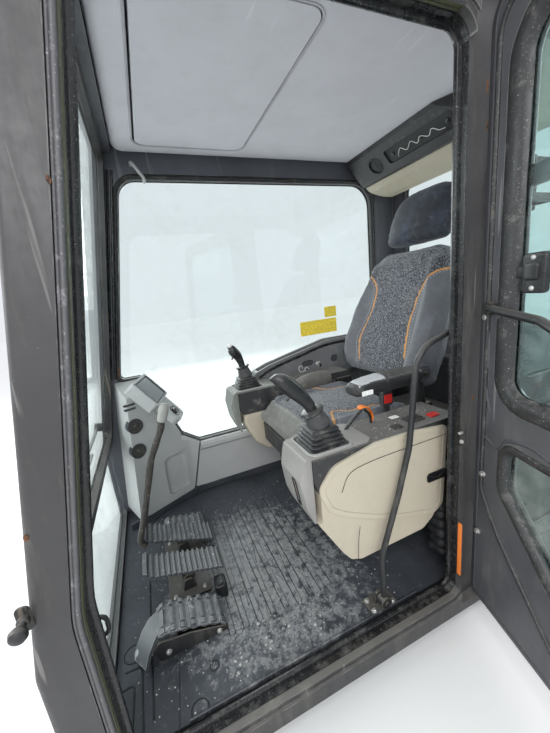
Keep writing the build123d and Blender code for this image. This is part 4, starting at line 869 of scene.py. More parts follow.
class CAB_OT_finishes(bpy.types.Operator):
    """Makes the finishes and gives every CAD piece that stays in view its own"""
    bl_idname = "cab.finishes"
    bl_label = "Finishes"

    def execute(self, context):
        # The shell's inner colour is painted light: a paler grey-blue that makes the faces inside the cab look lit.
        worn_paint("shell_paint", (0.034, 0.033, 0.034), (0.30, 0.29, 0.28), gloss=0.34, wear=0.9, up=0.35,
            inner=(0.085, 0.088, 0.105))
        # The door paint is a lighter grey than the door's glossy black: partly the paint's colour and partly painted
        # reflection of the sky.
        worn_paint("door_paint", (0.062, 0.063, 0.069), (0.34, 0.33, 0.32), gloss=0.30, up=0.3)
        worn_paint("black_paint", (0.012, 0.012, 0.013), (0.22, 0.18, 0.14), gloss=0.3, up=0.25)
        worn_paint("brown_paint", (0.026, 0.018, 0.014), (0.20, 0.14, 0.10), gloss=0.6, up=0.3)
        worn_paint("orange_paint", (0.62, 0.16, 0.02), (0.10, 0.06, 0.04), gloss=0.45, up=0.1, streak=0.15)
        rusty("rust")
        moulded("ceiling_cloth", (0.58, 0.57, 0.62), gloss=0.85, grain=900, dirt=0.12, up=0.0, sheen=1.06)
        moulded("grey_plastic", (0.40, 0.40, 0.40), gloss=0.5, dirt=0.25, up=0.2, sheen=1.1)
        moulded("dark_plastic", (0.022, 0.022, 0.024), gloss=0.36, dirt=0.22, up=0.22)
        moulded("beige_plastic", (0.47, 0.42, 0.33), gloss=0.55, dirt=0.2, up=0.1, sheen=1.08)
        moulded("console_top", (0.028, 0.028, 0.030), gloss=0.5, dirt=0.5, up=0.3)
        moulded("gloss_plastic", (0.012, 0.012, 0.013), gloss=0.2, dirt=0.10, up=0.12, grain=2400)
        moulded("black_vinyl", (0.012, 0.012, 0.014), gloss=0.42, dirt=0.2, up=0.15, grain=1000)
        moulded("silver_vinyl", (0.36, 0.37, 0.39), gloss=0.45, dirt=0.3, up=0.1, grain=1000)
        trodden_mat("mat_rubber")
        rubber("boot_rubber", (0.020, 0.020, 0.022), amount=0.35, gloss=0.5)
        # Dark rubber heavily clouded with pale lilac-grey, used for the doorway's outer seal.
        rubber("weathered_rubber", (0.085, 0.083, 0.088), (0.42, 0.40, 0.42), amount=0.9, gloss=0.55)
        rubber("gloss_rubber", (0.010, 0.010, 0.011), amount=0.25, gloss=0.28)
        rubber("seal_rubber", (0.022, 0.022, 0.023), amount=0.6, gloss=0.5, speck=0.6)
        rubber("edge_strip", (0.055, 0.056, 0.028), (0.22, 0.21, 0.17), amount=0.6, gloss=0.45)
        bare_steel("worn_steel")
        bare_steel("silver_bolt", (0.55, 0.54, 0.52), share=(0.55, 0.75), gloss=0.32)
        clear_glass("cab_glass")
        clear_glass("door_glass", (0.80, 0.91, 0.90), dirt=0.14)
        plain("orange_plastic", (0.80, 0.20, 0.03), 0.42, speck=0.3)
        plain("red_plastic", (0.50, 0.015, 0.012), 0.4, speck=0.2)
        plain("yellow_label", (0.72, 0.55, 0.05), 0.5, speck=0.3)
        plain("white_label", (0.72, 0.72, 0.70), 0.5, speck=0.25)
        plain("button_white", (0.50, 0.50, 0.49), 0.45, speck=0.3)
        plain("white_wire", (0.75, 0.75, 0.73), 0.5)
        plain("screen", (0.010, 0.012, 0.016), 0.12, coat_weight=0.5)
        moulded("leather_grip", (0.012, 0.012, 0.013), (0.30, 0.29, 0.28), gloss=0.26, dirt=0.18, up=0.2, grain=900)
        moulded("skirt_plastic", (0.040, 0.040, 0.043), gloss=0.5, dirt=0.3, up=0.3)
        moulded("panel_grey", (0.115, 0.117, 0.122), gloss=0.5, dirt=0.3, up=0.2)
        moulded("bezel_grey", (0.235, 0.225, 0.215), gloss=0.45, dirt=0.4, up=0.2)
        moulded("console_olive", (0.17, 0.175, 0.16), gloss=0.45, dirt=0.4, up=0.2)
        moulded("worn_collar", (0.30, 0.295, 0.28), (0.10, 0.10, 0.10), gloss=0.5, dirt=0.5, up=0.1)
        moulded("vent_plastic", (0.055, 0.053, 0.048), gloss=0.5, dirt=0.3, up=0.3)
        moulded("switch_plate", (0.34, 0.34, 0.34), gloss=0.45, dirt=0.2, up=0.1)
        moulded("key_silver", (0.36, 0.36, 0.36), (0.08, 0.08, 0.08), gloss=0.35, dirt=0.6, up=0.1)
        worn_paint("pedal_rubber", (0.034, 0.038, 0.046), (0.50, 0.50, 0.49), (0.33, 0.34, 0.34), 0.55, 1.6, 0.45,
            0.75)
        rubber("lever_rubber", (0.040, 0.034, 0.030), (0.30, 0.27, 0.23), amount=0.6, gloss=0.6, speck=0.7)
        plain("mat_line", (0.006, 0.006, 0.008), 0.4)
        rubber("stud_rubber", (0.10, 0.10, 0.11), (0.42, 0.41, 0.40), amount=1.0, gloss=0.7)
        moulded("ceiling_trim", (0.42, 0.41, 0.45), gloss=0.8, grain=900, dirt=0.1, up=0.0)
        plain("crumbs", (0.42, 0.41, 0.38), 0.9)
        plain("speaker_mesh", (0.02, 0.02, 0.02), 0.6, speck=0.3)
        speckled_fabric("seat_cloth")
        soft_cloth("seat_side", (0.11, 0.114, 0.128))
        soft_cloth("dusty_leather", (0.11, 0.105, 0.095), dust=0.5, weave=500, rough=0.6)
        soft_cloth("headrest_cloth", (0.010, 0.012, 0.020), (0.05, 0.06, 0.09), weave=700)
        soft_cloth("orange_tape", (0.52, 0.25, 0.075), dust=0.15, weave=1400)
        plain("white_thread", (0.62, 0.62, 0.60), 0.7)
        plain("dark_thread", (0.03, 0.03, 0.033), 0.7)
        finishes = {
            "shell_paint": ("base_frame", "left_side_frame", "right_side_frame", "rear_panel", "front_frame",
                            "roof_panel"),
            "door_paint": ("door_frame",),
            "black_paint": ("windshield_frame", "seat_pedestal", "seat_slide", "gate_lock_lever", "lever_bracket",
                            "pedal_base", "wiper", "door_hinges", "door_grab_bar"),
            "ceiling_cloth": ("headliner", "roof_hatch"),
            "bezel_grey": ("left_console_bezel",),
            "grey_plastic": ("front_corner_trim", "monitor", "right_wall_trim", "overhead_hook"),
            "dark_plastic": ("storage_box", "seat_belt_buckle", "rear_overhead_panel"),
            "console_olive": ("right_console_bezel",),
            "panel_grey": ("switch_tray",),
            "gloss_plastic": ("left_joystick", "right_joystick", "door_latch"),
            "console_top": ("left_console", "right_console"),
            "beige_plastic": ("left_console_panel", "right_console_panel", "rear_overhead_console"),
            "mat_rubber": ("floor_mat",),
            "boot_rubber": ("left_joystick_boot", "right_joystick_boot", "small_pedal"),
            "worn_steel": ("right_travel_pedal", "left_travel_pedal"),
            "brown_paint": ("auxiliary_pedal",),
            "cab_glass": ("windshield_glass", "lower_front_glass", "right_window", "rear_window",
                          "left_quarter_window"),
            "door_glass": ("door_upper_glass", "door_lower_glass"),
            "seat_cloth": ("seat_cushion", "seat_backrest"),
            "headrest_cloth": ("headrest",),
            "black_vinyl": ("left_armrest",),
        }
        for finish, names in finishes.items():
            for name in names:
                dress(name, finish)
        return {"FINISHED"}


def glazing(piece, inner, outer, line, depth_in, depth_out, proud=5.6):
    """Rubber each side of a pane: a strip in the rebate with a lip to the glass, and a bead outside."""
    if inner:
        piece.band(inner, widened(line, 7), [(-6.2, 0.2), (-6.0, proud - 1.6), (-3.5, proud), (-1.2, proud - 1.4),
            (1.0, proud), (4.5, proud - 0.2), (6.6, proud - 2), (6.6, 0.2)])
        piece.band(inner, line, [(0.1, 4.2), (5.0, 1.0), (6.6, -6.0), (6.0, -depth_in + 0.3), (0.1, -depth_in + 0.3)])
    if outer:
        piece.band(outer, line, [(0.1, -depth_out + 0.2), (8.4, -depth_out + 0.2), (7.4, -depth_out * 0.5),
            (4.0, -1.2), (0.1, 0.0)])


class CAB_OT_seals(bpy.types.Operator):
    """Makes the rubber round the doorway, the windows and the hatch, and the strips on the pillars"""
    bl_idname = "cab.seals"
    bl_label = "Seals"

    def execute(self, context):
        proud = context.scene.cab_seals.bulb / MM
        doorway = rounded(DOORWAY, DOORWAY_RADII, 6)
        ahead = [p for p in doorway if p.x > -112]
        seal = Piece("doorway_outer_seal", "cab", "black_rubber", "weathered_rubber")
        seal.band(side(499.2), [p for p in widened(doorway, 7) if p.x > -112], [(-6.4, 0), (-6.2, 3.4), (-4.6, proud),
            (-2.6, proud - 0.4), (-1.2, proud - 2.2), (0.6, proud - 0.3), (2.8, proud), (4.8, proud - 0.8),
            (6.2, 2.8), (6.4, 0)], closed=False)
        seal.done()
        trim = Piece("doorway_edge_trim", "cab", "black_rubber", "gloss_rubber", "edge_strip")
        trim.band(side(INNER_Y, -1), doorway, [(0.1, -17), (2.2, -16.6), (2.8, -9), (2.6, -1), (7, -1.2), (11.6, 1.6),
            (13.2, 6), (11.4, 10.6), (6.4, 13), (0.6, 12), (-3.6, 9.6), (-6.4, 7), (-6.6, 0.4), (0.1, 0.4)])
        for y in (487.0, 494.5):
            trim.band(side(y), ahead, [(0.05, -3.2), (1.7, -2.2), (2.3, 0), (1.7, 2.2), (0.05, 3.2)], 1, False)
        trim.done()
        panes = Piece("side_window_rubbers", "cab", "black_rubber", "seal_rubber")
        glazing(panes, side(PANE_INNER_Y, -1), side(HALF_WIDTH), rounded(QUARTER_WINDOW, QUARTER_RADII, 8), 17, 11,
            7.5)
        right = rounded(RIGHT_WINDOW, RIGHT_WINDOW_RADII, 8)
        glazing(panes, side(-PANE_INNER_Y), side(-HALF_WIDTH, -1), right, 17, 11)
        panes.band(side(-PANE_INNER_Y), widened(right, 4), [(-2.6, 5.7), (-2.0, 9.5), (0.4, 11), (2.4, 9.5),
            (2.8, 5.7)])
        panes.done()
        rear = Piece("rear_window_rubber", "cab", "black_rubber", "seal_rubber")
        line = rounded(REAR_WINDOW, 60, 8)
        rear.band(across(REAR_X + 28), line, [(-13, 0.3), (-12, 4), (-8, 5.6), (-2, 5.2), (4, 2), (7, -4),
            (6.4, -11.7), (0.1, -11.7), (0.1, 0.3)])
        rear.band(across(REAR_X, -1), line, [(0.1, -9.8), (9, -9.8), (8, -4), (4, -0.8), (0.1, 0)])
        rear.done()
        front = Piece("windshield_rubber", "cab", "black_rubber", "seal_rubber")
        lean = math.atan(0.175)
        shield = plane((806, 0, 458), LEFT, (math.cos(lean), 0, math.sin(lean)))
        front.band(shield, oblong(-442, 442, 24, 1136, 30, 8), [(-4, 0.4), (-4.2, 6), (-2, 8.4), (4, 8.6), (9, 6.5),
            (-0.25, 6.5), (-0.25, 0.4)])
        for low, high in ((24, 27), (30, 33)):
            front.band(across(808.6, 1), oblong(-461 + low, 461 - low, 80 + low, 456 - low, 20, 8),
                [(-4, 6.2), (-3, 8), (0, 8.6), (3, 8), (4, 6.2)])
        front.done()
        strips = Piece("pillar_strips", "cab", "black_rubber", "gloss_rubber")
        for shift, width, high in ((16, 11, 6), (31, 9, 8), (45, 10, 5)):
            line = [(747 - 0.186 * (z - 520) + shift, -464.6, z) for z in range(724, 1541, 48)]
            strips.strip(line, LEFT, dome(width, high, 0, 6) + [(0, -0.2)])
        strips.done()
        hatch = Piece("hatch_gaskets", "cab", "black_rubber", "gloss_rubber", "ceiling_trim")
        hatch.band(plan(ROOF_TOP_Z), widened(oblong(58, 500, -384, 313, 45, 8), 9), [(-5, 0.2), (-4, 3.4), (0, 4.4),
            (4, 3.4), (5, 0.2)])
        hatch.band(plan(CEILING_Z), oblong(61, 484, -381, 310, 43, 8), [(0.1, 0.3), (1.6, 0.3), (1.6, 7.5),
            (0.1, 7.5)], 1)
        hatch.done()
        return {"FINISHED"}


class CabSealSettings(bpy.types.PropertyGroup):
    """Size of the doorway's outer seal."""
    bulb: FloatProperty(name="Bulb height", description="Height of the doorway's outer seal", default=0.0056,
        unit="LENGTH")


class CAB_OT_pillar_marks(bpy.types.Operator):
    """Makes the small parts and the wear on the pillars"""
    bl_idname = "cab.pillar_marks"
    bl_label = "Pillar parts"

    def execute(self, context):
        parts = Piece("pillar_parts", "cab", "dark_metal", "black_paint", "silver_bolt")
        parts.slab(side(464.7, -1), oblong(752, 790, 425, 505, 8), 0, 4, 1.5)
        parts.tube([(768, 461, 470), (768, 440, 462), (764, 431, 452)], 6)
        ring = oblong(734, 780, 404, 448, 14, 15)
        parts.tube([(p.x, 430, p.y) for p in ring], 4.2, closed=True)
        parts.slab(side(HALF_WIDTH), oblong(802, 822, 548, 592, 8), 0.1, 3, 1)
        parts.lathe((812, 508, 570), LEFT, [(9, 0), (9, 6), (6, 9), (6, 17), (11, 20), (13, 25), (11, 31), (6, 34),
            (0, 35)], 0)
        reveal = plane((-148, 0, 0), LEFT, AHEAD)
        parts.slab(reveal, oblong(483, 498, 566, 616, 5), 0.2, 3.2, 1, finish=0)
        parts.lathe((-144.8, 490, 603), AHEAD, [(4.2, 0), (4.2, 9), (3, 11), (0, 11.4)], 1)
        parts.hexagon((-144.8, 490, 577), AHEAD, 8, 5, 1)
        parts.done()
        flash = Piece("pillar_orange_strip", "cab", "structure_paint", "orange_paint")
        flash.slab(reveal, oblong(484, 497, 150, 326, 4), 0.2, 2.2, 1)
        flash.done()
        stains = Piece("rust_spots", "cab", "structure_paint", "rust")
        for u, v, a, b in ((790, 884, 3, 9), (783, 905, 4, 5), (796, 960, 3, 4), (-172, 1372, 3, 14),
                (-176, 1300, 3, 9), (640, 1180, 3, 6), (779, 700, 4, 6), (-160, 700, 4, 7)):
            stains.slab(side(HALF_WIDTH), ellipse((u, v), a, b, 14, 1.6), 0.02, 0.35)
        for u, v, a, b in ((704, 760, 5, 20), (709, 735, 4, 9), (700, 802, 3, 6)):
            stains.slab(side(0.4 - INNER_Y), ellipse((u, v), a, b, 14, 1.6), 0.02, 0.35)
        stains.done()
        labels = Piece("blank_labels", "cab", "clear_glass", "yellow_label", "white_label")
        for u, v in (((-418, -192), (766, 842)), ((-421, -346), (850, 906))):
            labels.slab(side(-488), rounded(rectangle(u, v), 5), 0.05, 0.4)
        labels.done()
        return {"FINISHED"}


def blend_step(low, high, value):
    t = min(1.0, max(0.0, (value - low) / (high - low)))
    return t * t * (3 - 2 * t)


def between(table, at):
    """Value of a table of (position, value) at a position."""
    if at <= table[0][0]:
        return table[0][1]
    for (a, x), (b, y) in zip(table, table[1:]):
        if at <= b:
            return x + (y - x) * (at - a) / (b - a)
    return table[-1][1]


def back_place(sideways, height, depth=0.0):
    """Point on the leaning backrest, from its hinge line."""
    c, s = math.cos(BACK_LEAN), math.sin(BACK_LEAN)
    return Vector((BACK_HINGE_X + depth * c - height * s, sideways, BACK_HINGE_Z + depth * s + height * c))


def padded_section(half, low, crown, wing, inner=0.62, peak=0.84, count=28, corner=16.0):
    """(across, depth) loop: flat foot, side wings and a crowned middle."""
    line = []
    for k in range(count + 1):
        s = 1 - 2 * k / count
        a = abs(s)
        if a <= peak:
            depth = crown * (1 - 0.16 * (a / peak) ** 2) + (wing - crown * 0.84) * blend_step(inner, peak, a)
        else:
            depth = low + corner + (wing - low - corner) * math.sqrt(max(0.0, 1 - ((a - peak) / (1 - peak)) ** 2))
        line.append((s * half, depth))
    base = half - corner * 0.7
    line += [(-half, low + corner), (-half + 3, low + corner * 0.4), (-base, low), (-base * 0.3, low),
        (base * 0.3, low), (base, low), (half - 3, low + corner * 0.4), (half, low + corner)]
    return line[:count + 1] + line[count + 2:-1]


def remeshed(mesh, voxel):
    """The closed shape as even, smooth faces of one size."""
    carrier = linked("carrier", mesh)
    modifier = carrier.modifiers.new("remesh", "REMESH")
    modifier.mode = "VOXEL"
    modifier.voxel_size = voxel * MM
    modifier.use_smooth_shade = True
    graph = bpy.context.evaluated_depsgraph_get()
    made = bpy.data.meshes.new_from_object(carrier.evaluated_get(graph), depsgraph=graph)
    bpy.data.objects.remove(carrier)
    return made


def vectors(items, key):
    """One vector of each vertex or face, as rows of an array."""
    flat = np.empty(len(items) * 3)
    items.foreach_get(key, flat)
    return flat.reshape(-1, 3)


def swollen(mesh, pressure, cap, held):
    """Blows the cover out as cloth, no point further than the cap, with the held points kept."""
    carrier = linked("carrier", mesh)
    rest = vectors(mesh.vertices, "co")
    cloth = carrier.modifiers.new("cloth", "CLOTH")
    cloth.settings.use_pressure = True
    cloth.settings.uniform_pressure_force = pressure
    cloth.settings.effector_weights.gravity = 0.0
    cloth.point_cache.frame_start, cloth.point_cache.frame_end = 1, 20
    scene = bpy.context.scene
    for number in range(1, 21):
        scene.frame_set(number)
    graph = bpy.context.evaluated_depsgraph_get()
    blown = vectors(carrier.evaluated_get(graph).data.vertices, "co")
    carrier.modifiers.remove(cloth)
    bpy.data.objects.remove(carrier)
    scene.frame_set(1)
    move = blown - rest
    length = np.linalg.norm(move, axis=1)
    share = np.minimum(1.0, cap * MM / np.maximum(length, 1e-9)) * (1 - held(rest / MM))
    mesh.vertices.foreach_set("co", (rest + move * share[:, None]).ravel())
    mesh.update()


def distance_to(points, line):
    """Distance of flat points from a polyline."""
    best = np.full(len(points), 1e9)
    for a, b in zip(line, line[1:]):
        a, b = np.array(a[:2], float), np.array(b[:2], float)
        way = b - a
        t = np.clip(((points - a) @ way) / max(way @ way, 1e-9), 0, 1)
        best = np.minimum(best, np.linalg.norm(points - a - t[:, None] * way, axis=1))
    return best


class Pad:
    """A padded seat piece: swollen as cloth, with sewn grooves, cover zones, tapes and stitches."""

    def __init__(self, name, body, rows, flat, cap, held, voxel=5.0):
        maker = Piece("rough", None, None)
        maker.add(rows)
        bmesh.ops.triangulate(maker.mesh, faces=maker.mesh.faces[:])
        rough = bpy.data.meshes.new(name)
        maker.mesh.to_mesh(rough)
        maker.mesh.free()
        self.name, self.body, self.flat = name, body, flat
        self.mesh = remeshed(rough, voxel)
        swollen(self.mesh, 4.0, cap, held)

    def groove(self, lines, deep=3.0, wide=4.0, lift=1.2):
        """Sinks the cover along sewn lines and lifts it a little beside them."""
        points, normals = vectors(self.mesh.vertices, "co"), vectors(self.mesh.vertices, "normal")
        where, facing = self.flat(points / MM, normals)
        push = np.zeros(len(points))
        for line in lines:
            gap = distance_to(where, line)
            push = np.minimum(push, -deep * np.exp(-(gap / wide) ** 2)) + lift * np.exp(
                -((gap - 3 * wide) / (1.6 * wide)) ** 2)
        points += normals * (push * np.clip(facing * 2, 0, 1) * MM)[:, None]
        self.mesh.vertices.foreach_set("co", points.ravel())
        self.mesh.update()

    def finish(self, finishes, zone, *replaced):
        """Gives the cover its zones of finish, puts it on its body, hides the CAD parts it replaces and smooths it
        with one level of subdivision.
        """
        for finish in finishes:
            self.mesh.materials.append(stock(finish))
        faces = self.mesh.polygons
        where, facing = self.flat(vectors(faces, "center") / MM, vectors(faces, "normal"))
        faces.foreach_set("material_index", [zone(u, v, f) for (u, v), f in zip(where, facing)])
        faces.foreach_set("use_smooth", [True] * len(faces))
        self.tree = BVHTree.FromPolygons([v.co for v in self.mesh.vertices], [list(p.vertices) for p in faces])
        piece = settle(self.name, self.mesh, self.body, "seat_fabric", *replaced)
        levels = piece.modifiers.new("smooth", "SUBSURF")
        levels.levels = levels.render_levels = 1
        return piece

    def onto(self, points, aim):
        """Points of the cover met by rays along aim, with the cover's normal there."""
        met = []
        for point in points:
            place, normal, _, _ = self.tree.ray_cast(Vector(point) * MM, Vector(aim))
            if place is not None:
                met.append((place / MM, normal))
        return met

    def taped(self, name, lines, aim, finish, width=12.0, height=1.6):
        """Sewn tape along lines on the cover."""
        tape = Piece(name, self.body, "seat_fabric", finish)
        for line in lines:
            met = self.onto(line, aim)
            if len(met) > 2:
                tape.strip([p for p, _ in met], [n for _, n in met], dome(width, height, 0, 6) + [(0, -2.5)])
        return tape.done()

    def threaded(self, name, lines, aim, finish, pitch=9.0, length=6.0, thread=1.5):
        """Stitches along lines on the cover."""
        found = [[p + n * 0.3 for p, n in self.onto(line, aim)] for line in lines]
        return stitched(name, self.body, [line for line in found if len(line) > 2], finish, pitch, length, thread)


class CabSeatSettings(bpy.types.PropertyGroup):
    """Sizes of the seat's tapes and seams."""
    tape: FloatProperty(name="Tape width", description="Width of the orange tapes", default=0.011, unit="LENGTH")
    seam: FloatProperty(name="Seam depth", description="Depth of the sewn seams", default=0.0035, unit="LENGTH")
    stitch: FloatProperty(name="Stitch pitch", description="Length between stitches", default=0.011, unit="LENGTH")


def shifted(line, amount):
    return [(x + amount, y) for x, y in line]


def oval_rows(y, count, power, table):
    """Ovals across X about one Y, from (x, half width, lowest z, highest z)."""
    return [[Vector((x, p.x, p.y)) for p in ellipse((y, (low + high) / 2), half, (high - low) / 2, count, power)]
        for x, half, low, high in table]


class CAB_OT_seat(bpy.types.Operator):
    """Makes the cushion, backrest, headrest and armrest with their covers, tapes, seams and stitches"""
    bl_idname = "cab.seat"
    bl_label = "Seat"

    def execute(self, context):
        settings = context.scene.cab_seat
        tape, seam, pitch = settings.tape / MM, settings.seam / MM, settings.stitch / MM
        cloth, side_cloth, leather = "seat_cloth", "seat_side", "dusty_leather"
        out = Vector((math.cos(BACK_LEAN), 0, math.sin(BACK_LEAN)))

        def back_flat(points, normals):
            c, s = math.cos(BACK_LEAN), math.sin(BACK_LEAN)
            x, z = points[:, 0] - BACK_HINGE_X, points[:, 2] - BACK_HINGE_Z
            return np.stack((points[:, 1], z * c - x * s), 1), normals @ np.array((c, 0, s))

        half = [(72, 196), (90, 216), (190, 234), (300, 232), (380, 224), (500, 208), (560, 196), (592, 172),
            (603, 140)]
        crown = [(72, 6), (95, 20), (190, 25), (300, 22), (500, 14), (570, 6), (603, -22)]
        wing = [(72, 20), (95, 40), (140, 58), (200, 62), (330, 50), (430, 36), (540, 20), (603, -18)]
        low = [(72, -60), (100, -76), (540, -74), (603, -52)]
        rows = []
        for height in (72, 76, 84, 96, 112, 135, 165, 200, 240, 280, 320, 360, 400, 440, 480, 515, 545, 568, 585, 596,
                603):
            loop = padded_section(between(half, height), between(low, height), between(crown, height),
                between(wing, height))
            rows.append([back_place(y, height, d) for y, d in loop])
        back = Pad("padded_backrest", "back", rows, back_flat, 8.0, lambda p: np.zeros(len(p)))
        far = [(-118, 84), (-117, 120), (-139, 216), (-109, 328), (-104, 408), (-126, 455), (-164, 490), (-200, 508)]
        near = [(136, 84), (139, 159), (123, 263), (124, 362), (134, 420), (158, 462), (186, 488), (212, 503)]
        piping = [(-190, 500), (-172, 560), (-120, 583), (0, 590), (120, 583), (172, 560), (190, 500)]
        back.groove([smooth_line(far), smooth_line(near), smooth_line(piping)], seam, 4.5)

        def worn_zone(u, v, f):
            middle = -between([(b, -a) for a, b in far], v) < u < between([(b, a) for a, b in near], v)
            return 0 if f > 0.12 and (v > 505 or middle) else 1

        back.finish([cloth, side_cloth], worn_zone, "seat_backrest")

        def from_front(line):
            return [back_place(sideways, height, 200) for sideways, height in line]

        tapes = [from_front(smooth_line(far[1:], 10)), from_front(smooth_line(near[1:], 10))]
        back.taped("backrest_tapes", tapes, -out, "orange_tape", tape)
        back.threaded("backrest_stitches", [from_front(smooth_line(shifted(near, 15), 10)),
            from_front(smooth_line(shifted(far, -15), 10))], -out, "white_thread", pitch)

        def top_flat(points, normals):
            return points[:, :2], np.maximum(normals[:, 2], normals[:, 0] * 0.8)

        rows = []
        for x in (-258, -252, -240, -215, -180, -140, -100, -60, -20, 20, 60, 95, 125, 148, 165, 176, 184, 188):
            fall = blend_step(70, 190, x)
            top = 104 - 42 * fall ** 2 - 6 * blend_step(-200, -258, x)
            loop = padded_section(218 - 26 * blend_step(120, 190, x) - 12 * blend_step(-235, -258, x),
                3 + 26 * fall ** 3, top, top + 8 * (1 - fall), 0.66, 0.88, corner=22)
            rows.append([Vector((x, y, 466 + d)) for y, d in loop])
        cushion = Pad("padded_cushion", "seat", rows, top_flat, 7.0, lambda p: np.clip((478 - p[:, 2]) / 6, 0, 1))
        near_tape = [(-215, 128), (-140, 126), (-66, 118), (-30, 100), (-6, 92), (8, 100), (26, 140), (52, 186),
            (62, 212)]
        far_tape = [(-215, -132), (-140, -150), (-72, -178), (-20, -192), (20, -206)]
        front = [(110, -205), (120, -100), (122, 0), (120, 100), (110, 205)]
        cushion.groove([smooth_line(near_tape), smooth_line(far_tape), smooth_line(front)], seam, 4.5)

        def cover(u, v, f):
            if u > 118:
                return 2
            near_side = v > between(near_tape[:5], u) and v > 92 + (u + 6) * 1.7
            return 1 if f < 0.3 or v < between(far_tape, u) or near_side else 0

        cushion.finish([cloth, side_cloth, leather], cover, "seat_cushion")
        down = -UP

        def from_top(line, lift=700):
            return [Vector((x, y, lift)) for x, y in line]

        cushion.taped("cushion_tapes", [from_top(smooth_line(near_tape, 10)), from_top(smooth_line(far_tape, 10))],
            down, "orange_tape", tape)
        near_side = [(-215, 142), (-140, 140), (-62, 132), (-22, 116), (-4, 122), (14, 156), (40, 200)]
        cushion.threaded("cushion_stitches", [from_top(smooth_line(near_side, 10)),
            from_top(smooth_line([(x + 6, y) for x, y in front], 10))], down, "white_thread", pitch)

        rows = oval_rows(-236, 28, 2.6, ((-206, 8, 572, 604), (-200, 15, 562, 614), (-184, 20, 556, 624),
            (-150, 22, 554, 631), (-95, 22, 553, 632), (-50, 22, 552, 626), (-20, 19, 552, 612), (-4, 14, 556, 600),
            (4, 7, 566, 588)))
        wing_pad = Pad("cushion_far_wing", "seat", rows, lambda p, n: (p[:, ::2], n[:, 1]), 2.0,
            lambda p: np.clip((600 - p[:, 2]) / 20, 0, 1))
        wing_pad.finish([leather], lambda u, v, f: 0)

        rows = []
        for height, wide, front_d, back_d in ((625, 118, 10, -54), (630, 138, 17, -62), (642, 148, 20, -66),
                (670, 156, 21, -67), (703, 159, 20, -66), (740, 158, 17, -65), (775, 151, 12, -62),
                (803, 140, 5, -58), (826, 116, -6, -50), (840, 88, -16, -42), (846, 60, -22, -36)):
            line = ellipse((0, (front_d + back_d) / 2), wide, (front_d - back_d) / 2, 44, 3.0)
            rows.append([back_place(p.x, height, p.y - 6 * (p.x / 160) ** 2) for p in line])
        head = Pad("padded_headrest", "back", rows, back_flat, 5.0, lambda p: np.zeros(len(p)))
        head.groove([smooth_line([(-156, 668), (-80, 655), (0, 651), (80, 655), (156, 668)])], 2.5, 4)
        head.finish(["headrest_cloth"], lambda u, v, f: 0, "headrest")
        head.threaded("headrest_stitches", [from_front(smooth_line([(-150, 660), (-80, 648), (0, 644), (80, 648),
            (150, 660)], 10))], -out, "dark_thread", pitch)

        rows = oval_rows(297, 36, 3.4, ((-194, 20, 706, 728), (-188, 28, 698, 736), (-172, 33, 694, 742),
            (-120, 34, 692, 744), (-60, 34, 691, 744), (0, 34, 692, 742), (34, 33, 694, 738), (54, 28, 698, 731),
            (62, 20, 704, 722)))
        arm = Pad("padded_armrest", "armrest", rows, top_flat, 3.0, lambda p: np.clip((700 - p[:, 2]) / 8, 0, 1), 4.0)
        edge = oblong(-170, 44, 271, 323, 16)
        arm.groove([[(p.x, p.y) for p in edge + edge[:1]], [(-46, 265), (-46, 329)]], 2.2, 3)
        arm.finish(["black_vinyl", "silver_vinyl"], lambda u, v, f: int(f > 0.3 and -46 < u < 46 and 270 < v < 324),
            "left_armrest")
        rim = [(p.x, p.y) for p in widened(edge, 4)]
        arm.threaded("armrest_stitches", [from_top(rim + rim[:1], 800)], down, "dark_thread", 8, 5, 1.3)
        hub = Piece("armrest_hub", "armrest", "dark_plastic", "dark_plastic", "white_label")
        hub.lathe((-232, 263.5, 706), LEFT, [(14, 0), (27, 0.2), (29, 3), (29, 24), (26, 26.4), (14, 26.4)], sides=36)
        hub.slab(side(289.6), ellipse((-232, 706), 20, 20, 32), 0, 2.2, 1.5)
        hub.slab(side(330.5), oblong(6, 44, 702, 716, 2), 0, 1.2, finish=1)
        hub.tube([(-214, 277, 706), (-200, 282, 712), (-180, 290, 717)], 13, flat=0.8)
        hub.done()
        return {"FINISHED"}


def skin(piece, stations, finish=0, count=32, power=2.3):
    """Body through stations: (centre, right, up, half width, half height) each."""
    rows = []
    for centre, right, up, half_a, half_b in stations:
        centre, right, up = Vector(centre), Vector(right).normalized(), Vector(up).normalized()
        rows.append([centre + right * p.x + up * p.y for p in ellipse((0, 0), half_a, half_b, count, power)])
    return piece.add(rows, finish=finish)


def grip_stations(line, widths):
    """Stations of a hand grip that bends in the plane across Y."""
    stations = []
    for i, here in enumerate(line):
        along = (line[min(i + 1, len(line) - 1)] - line[max(i - 1, 0)]).normalized()
        at = i * (len(widths) - 1) / (len(line) - 1)
        wide, thick = (between([(k, pair[side_]) for k, pair in enumerate(widths)], at) for side_ in (0, 1))
        stations.append((here, LEFT, LEFT.cross(along), wide, thick))
    return stations


class CabControlSettings(bpy.types.PropertyGroup):
    """Sizes of the joystick bellows."""
    folds: IntProperty(name="Folds", description="Number of folds of a joystick's bellows", default=5)
    fold_depth: FloatProperty(name="Fold depth", description="Depth of a fold", default=0.0062, unit="LENGTH")


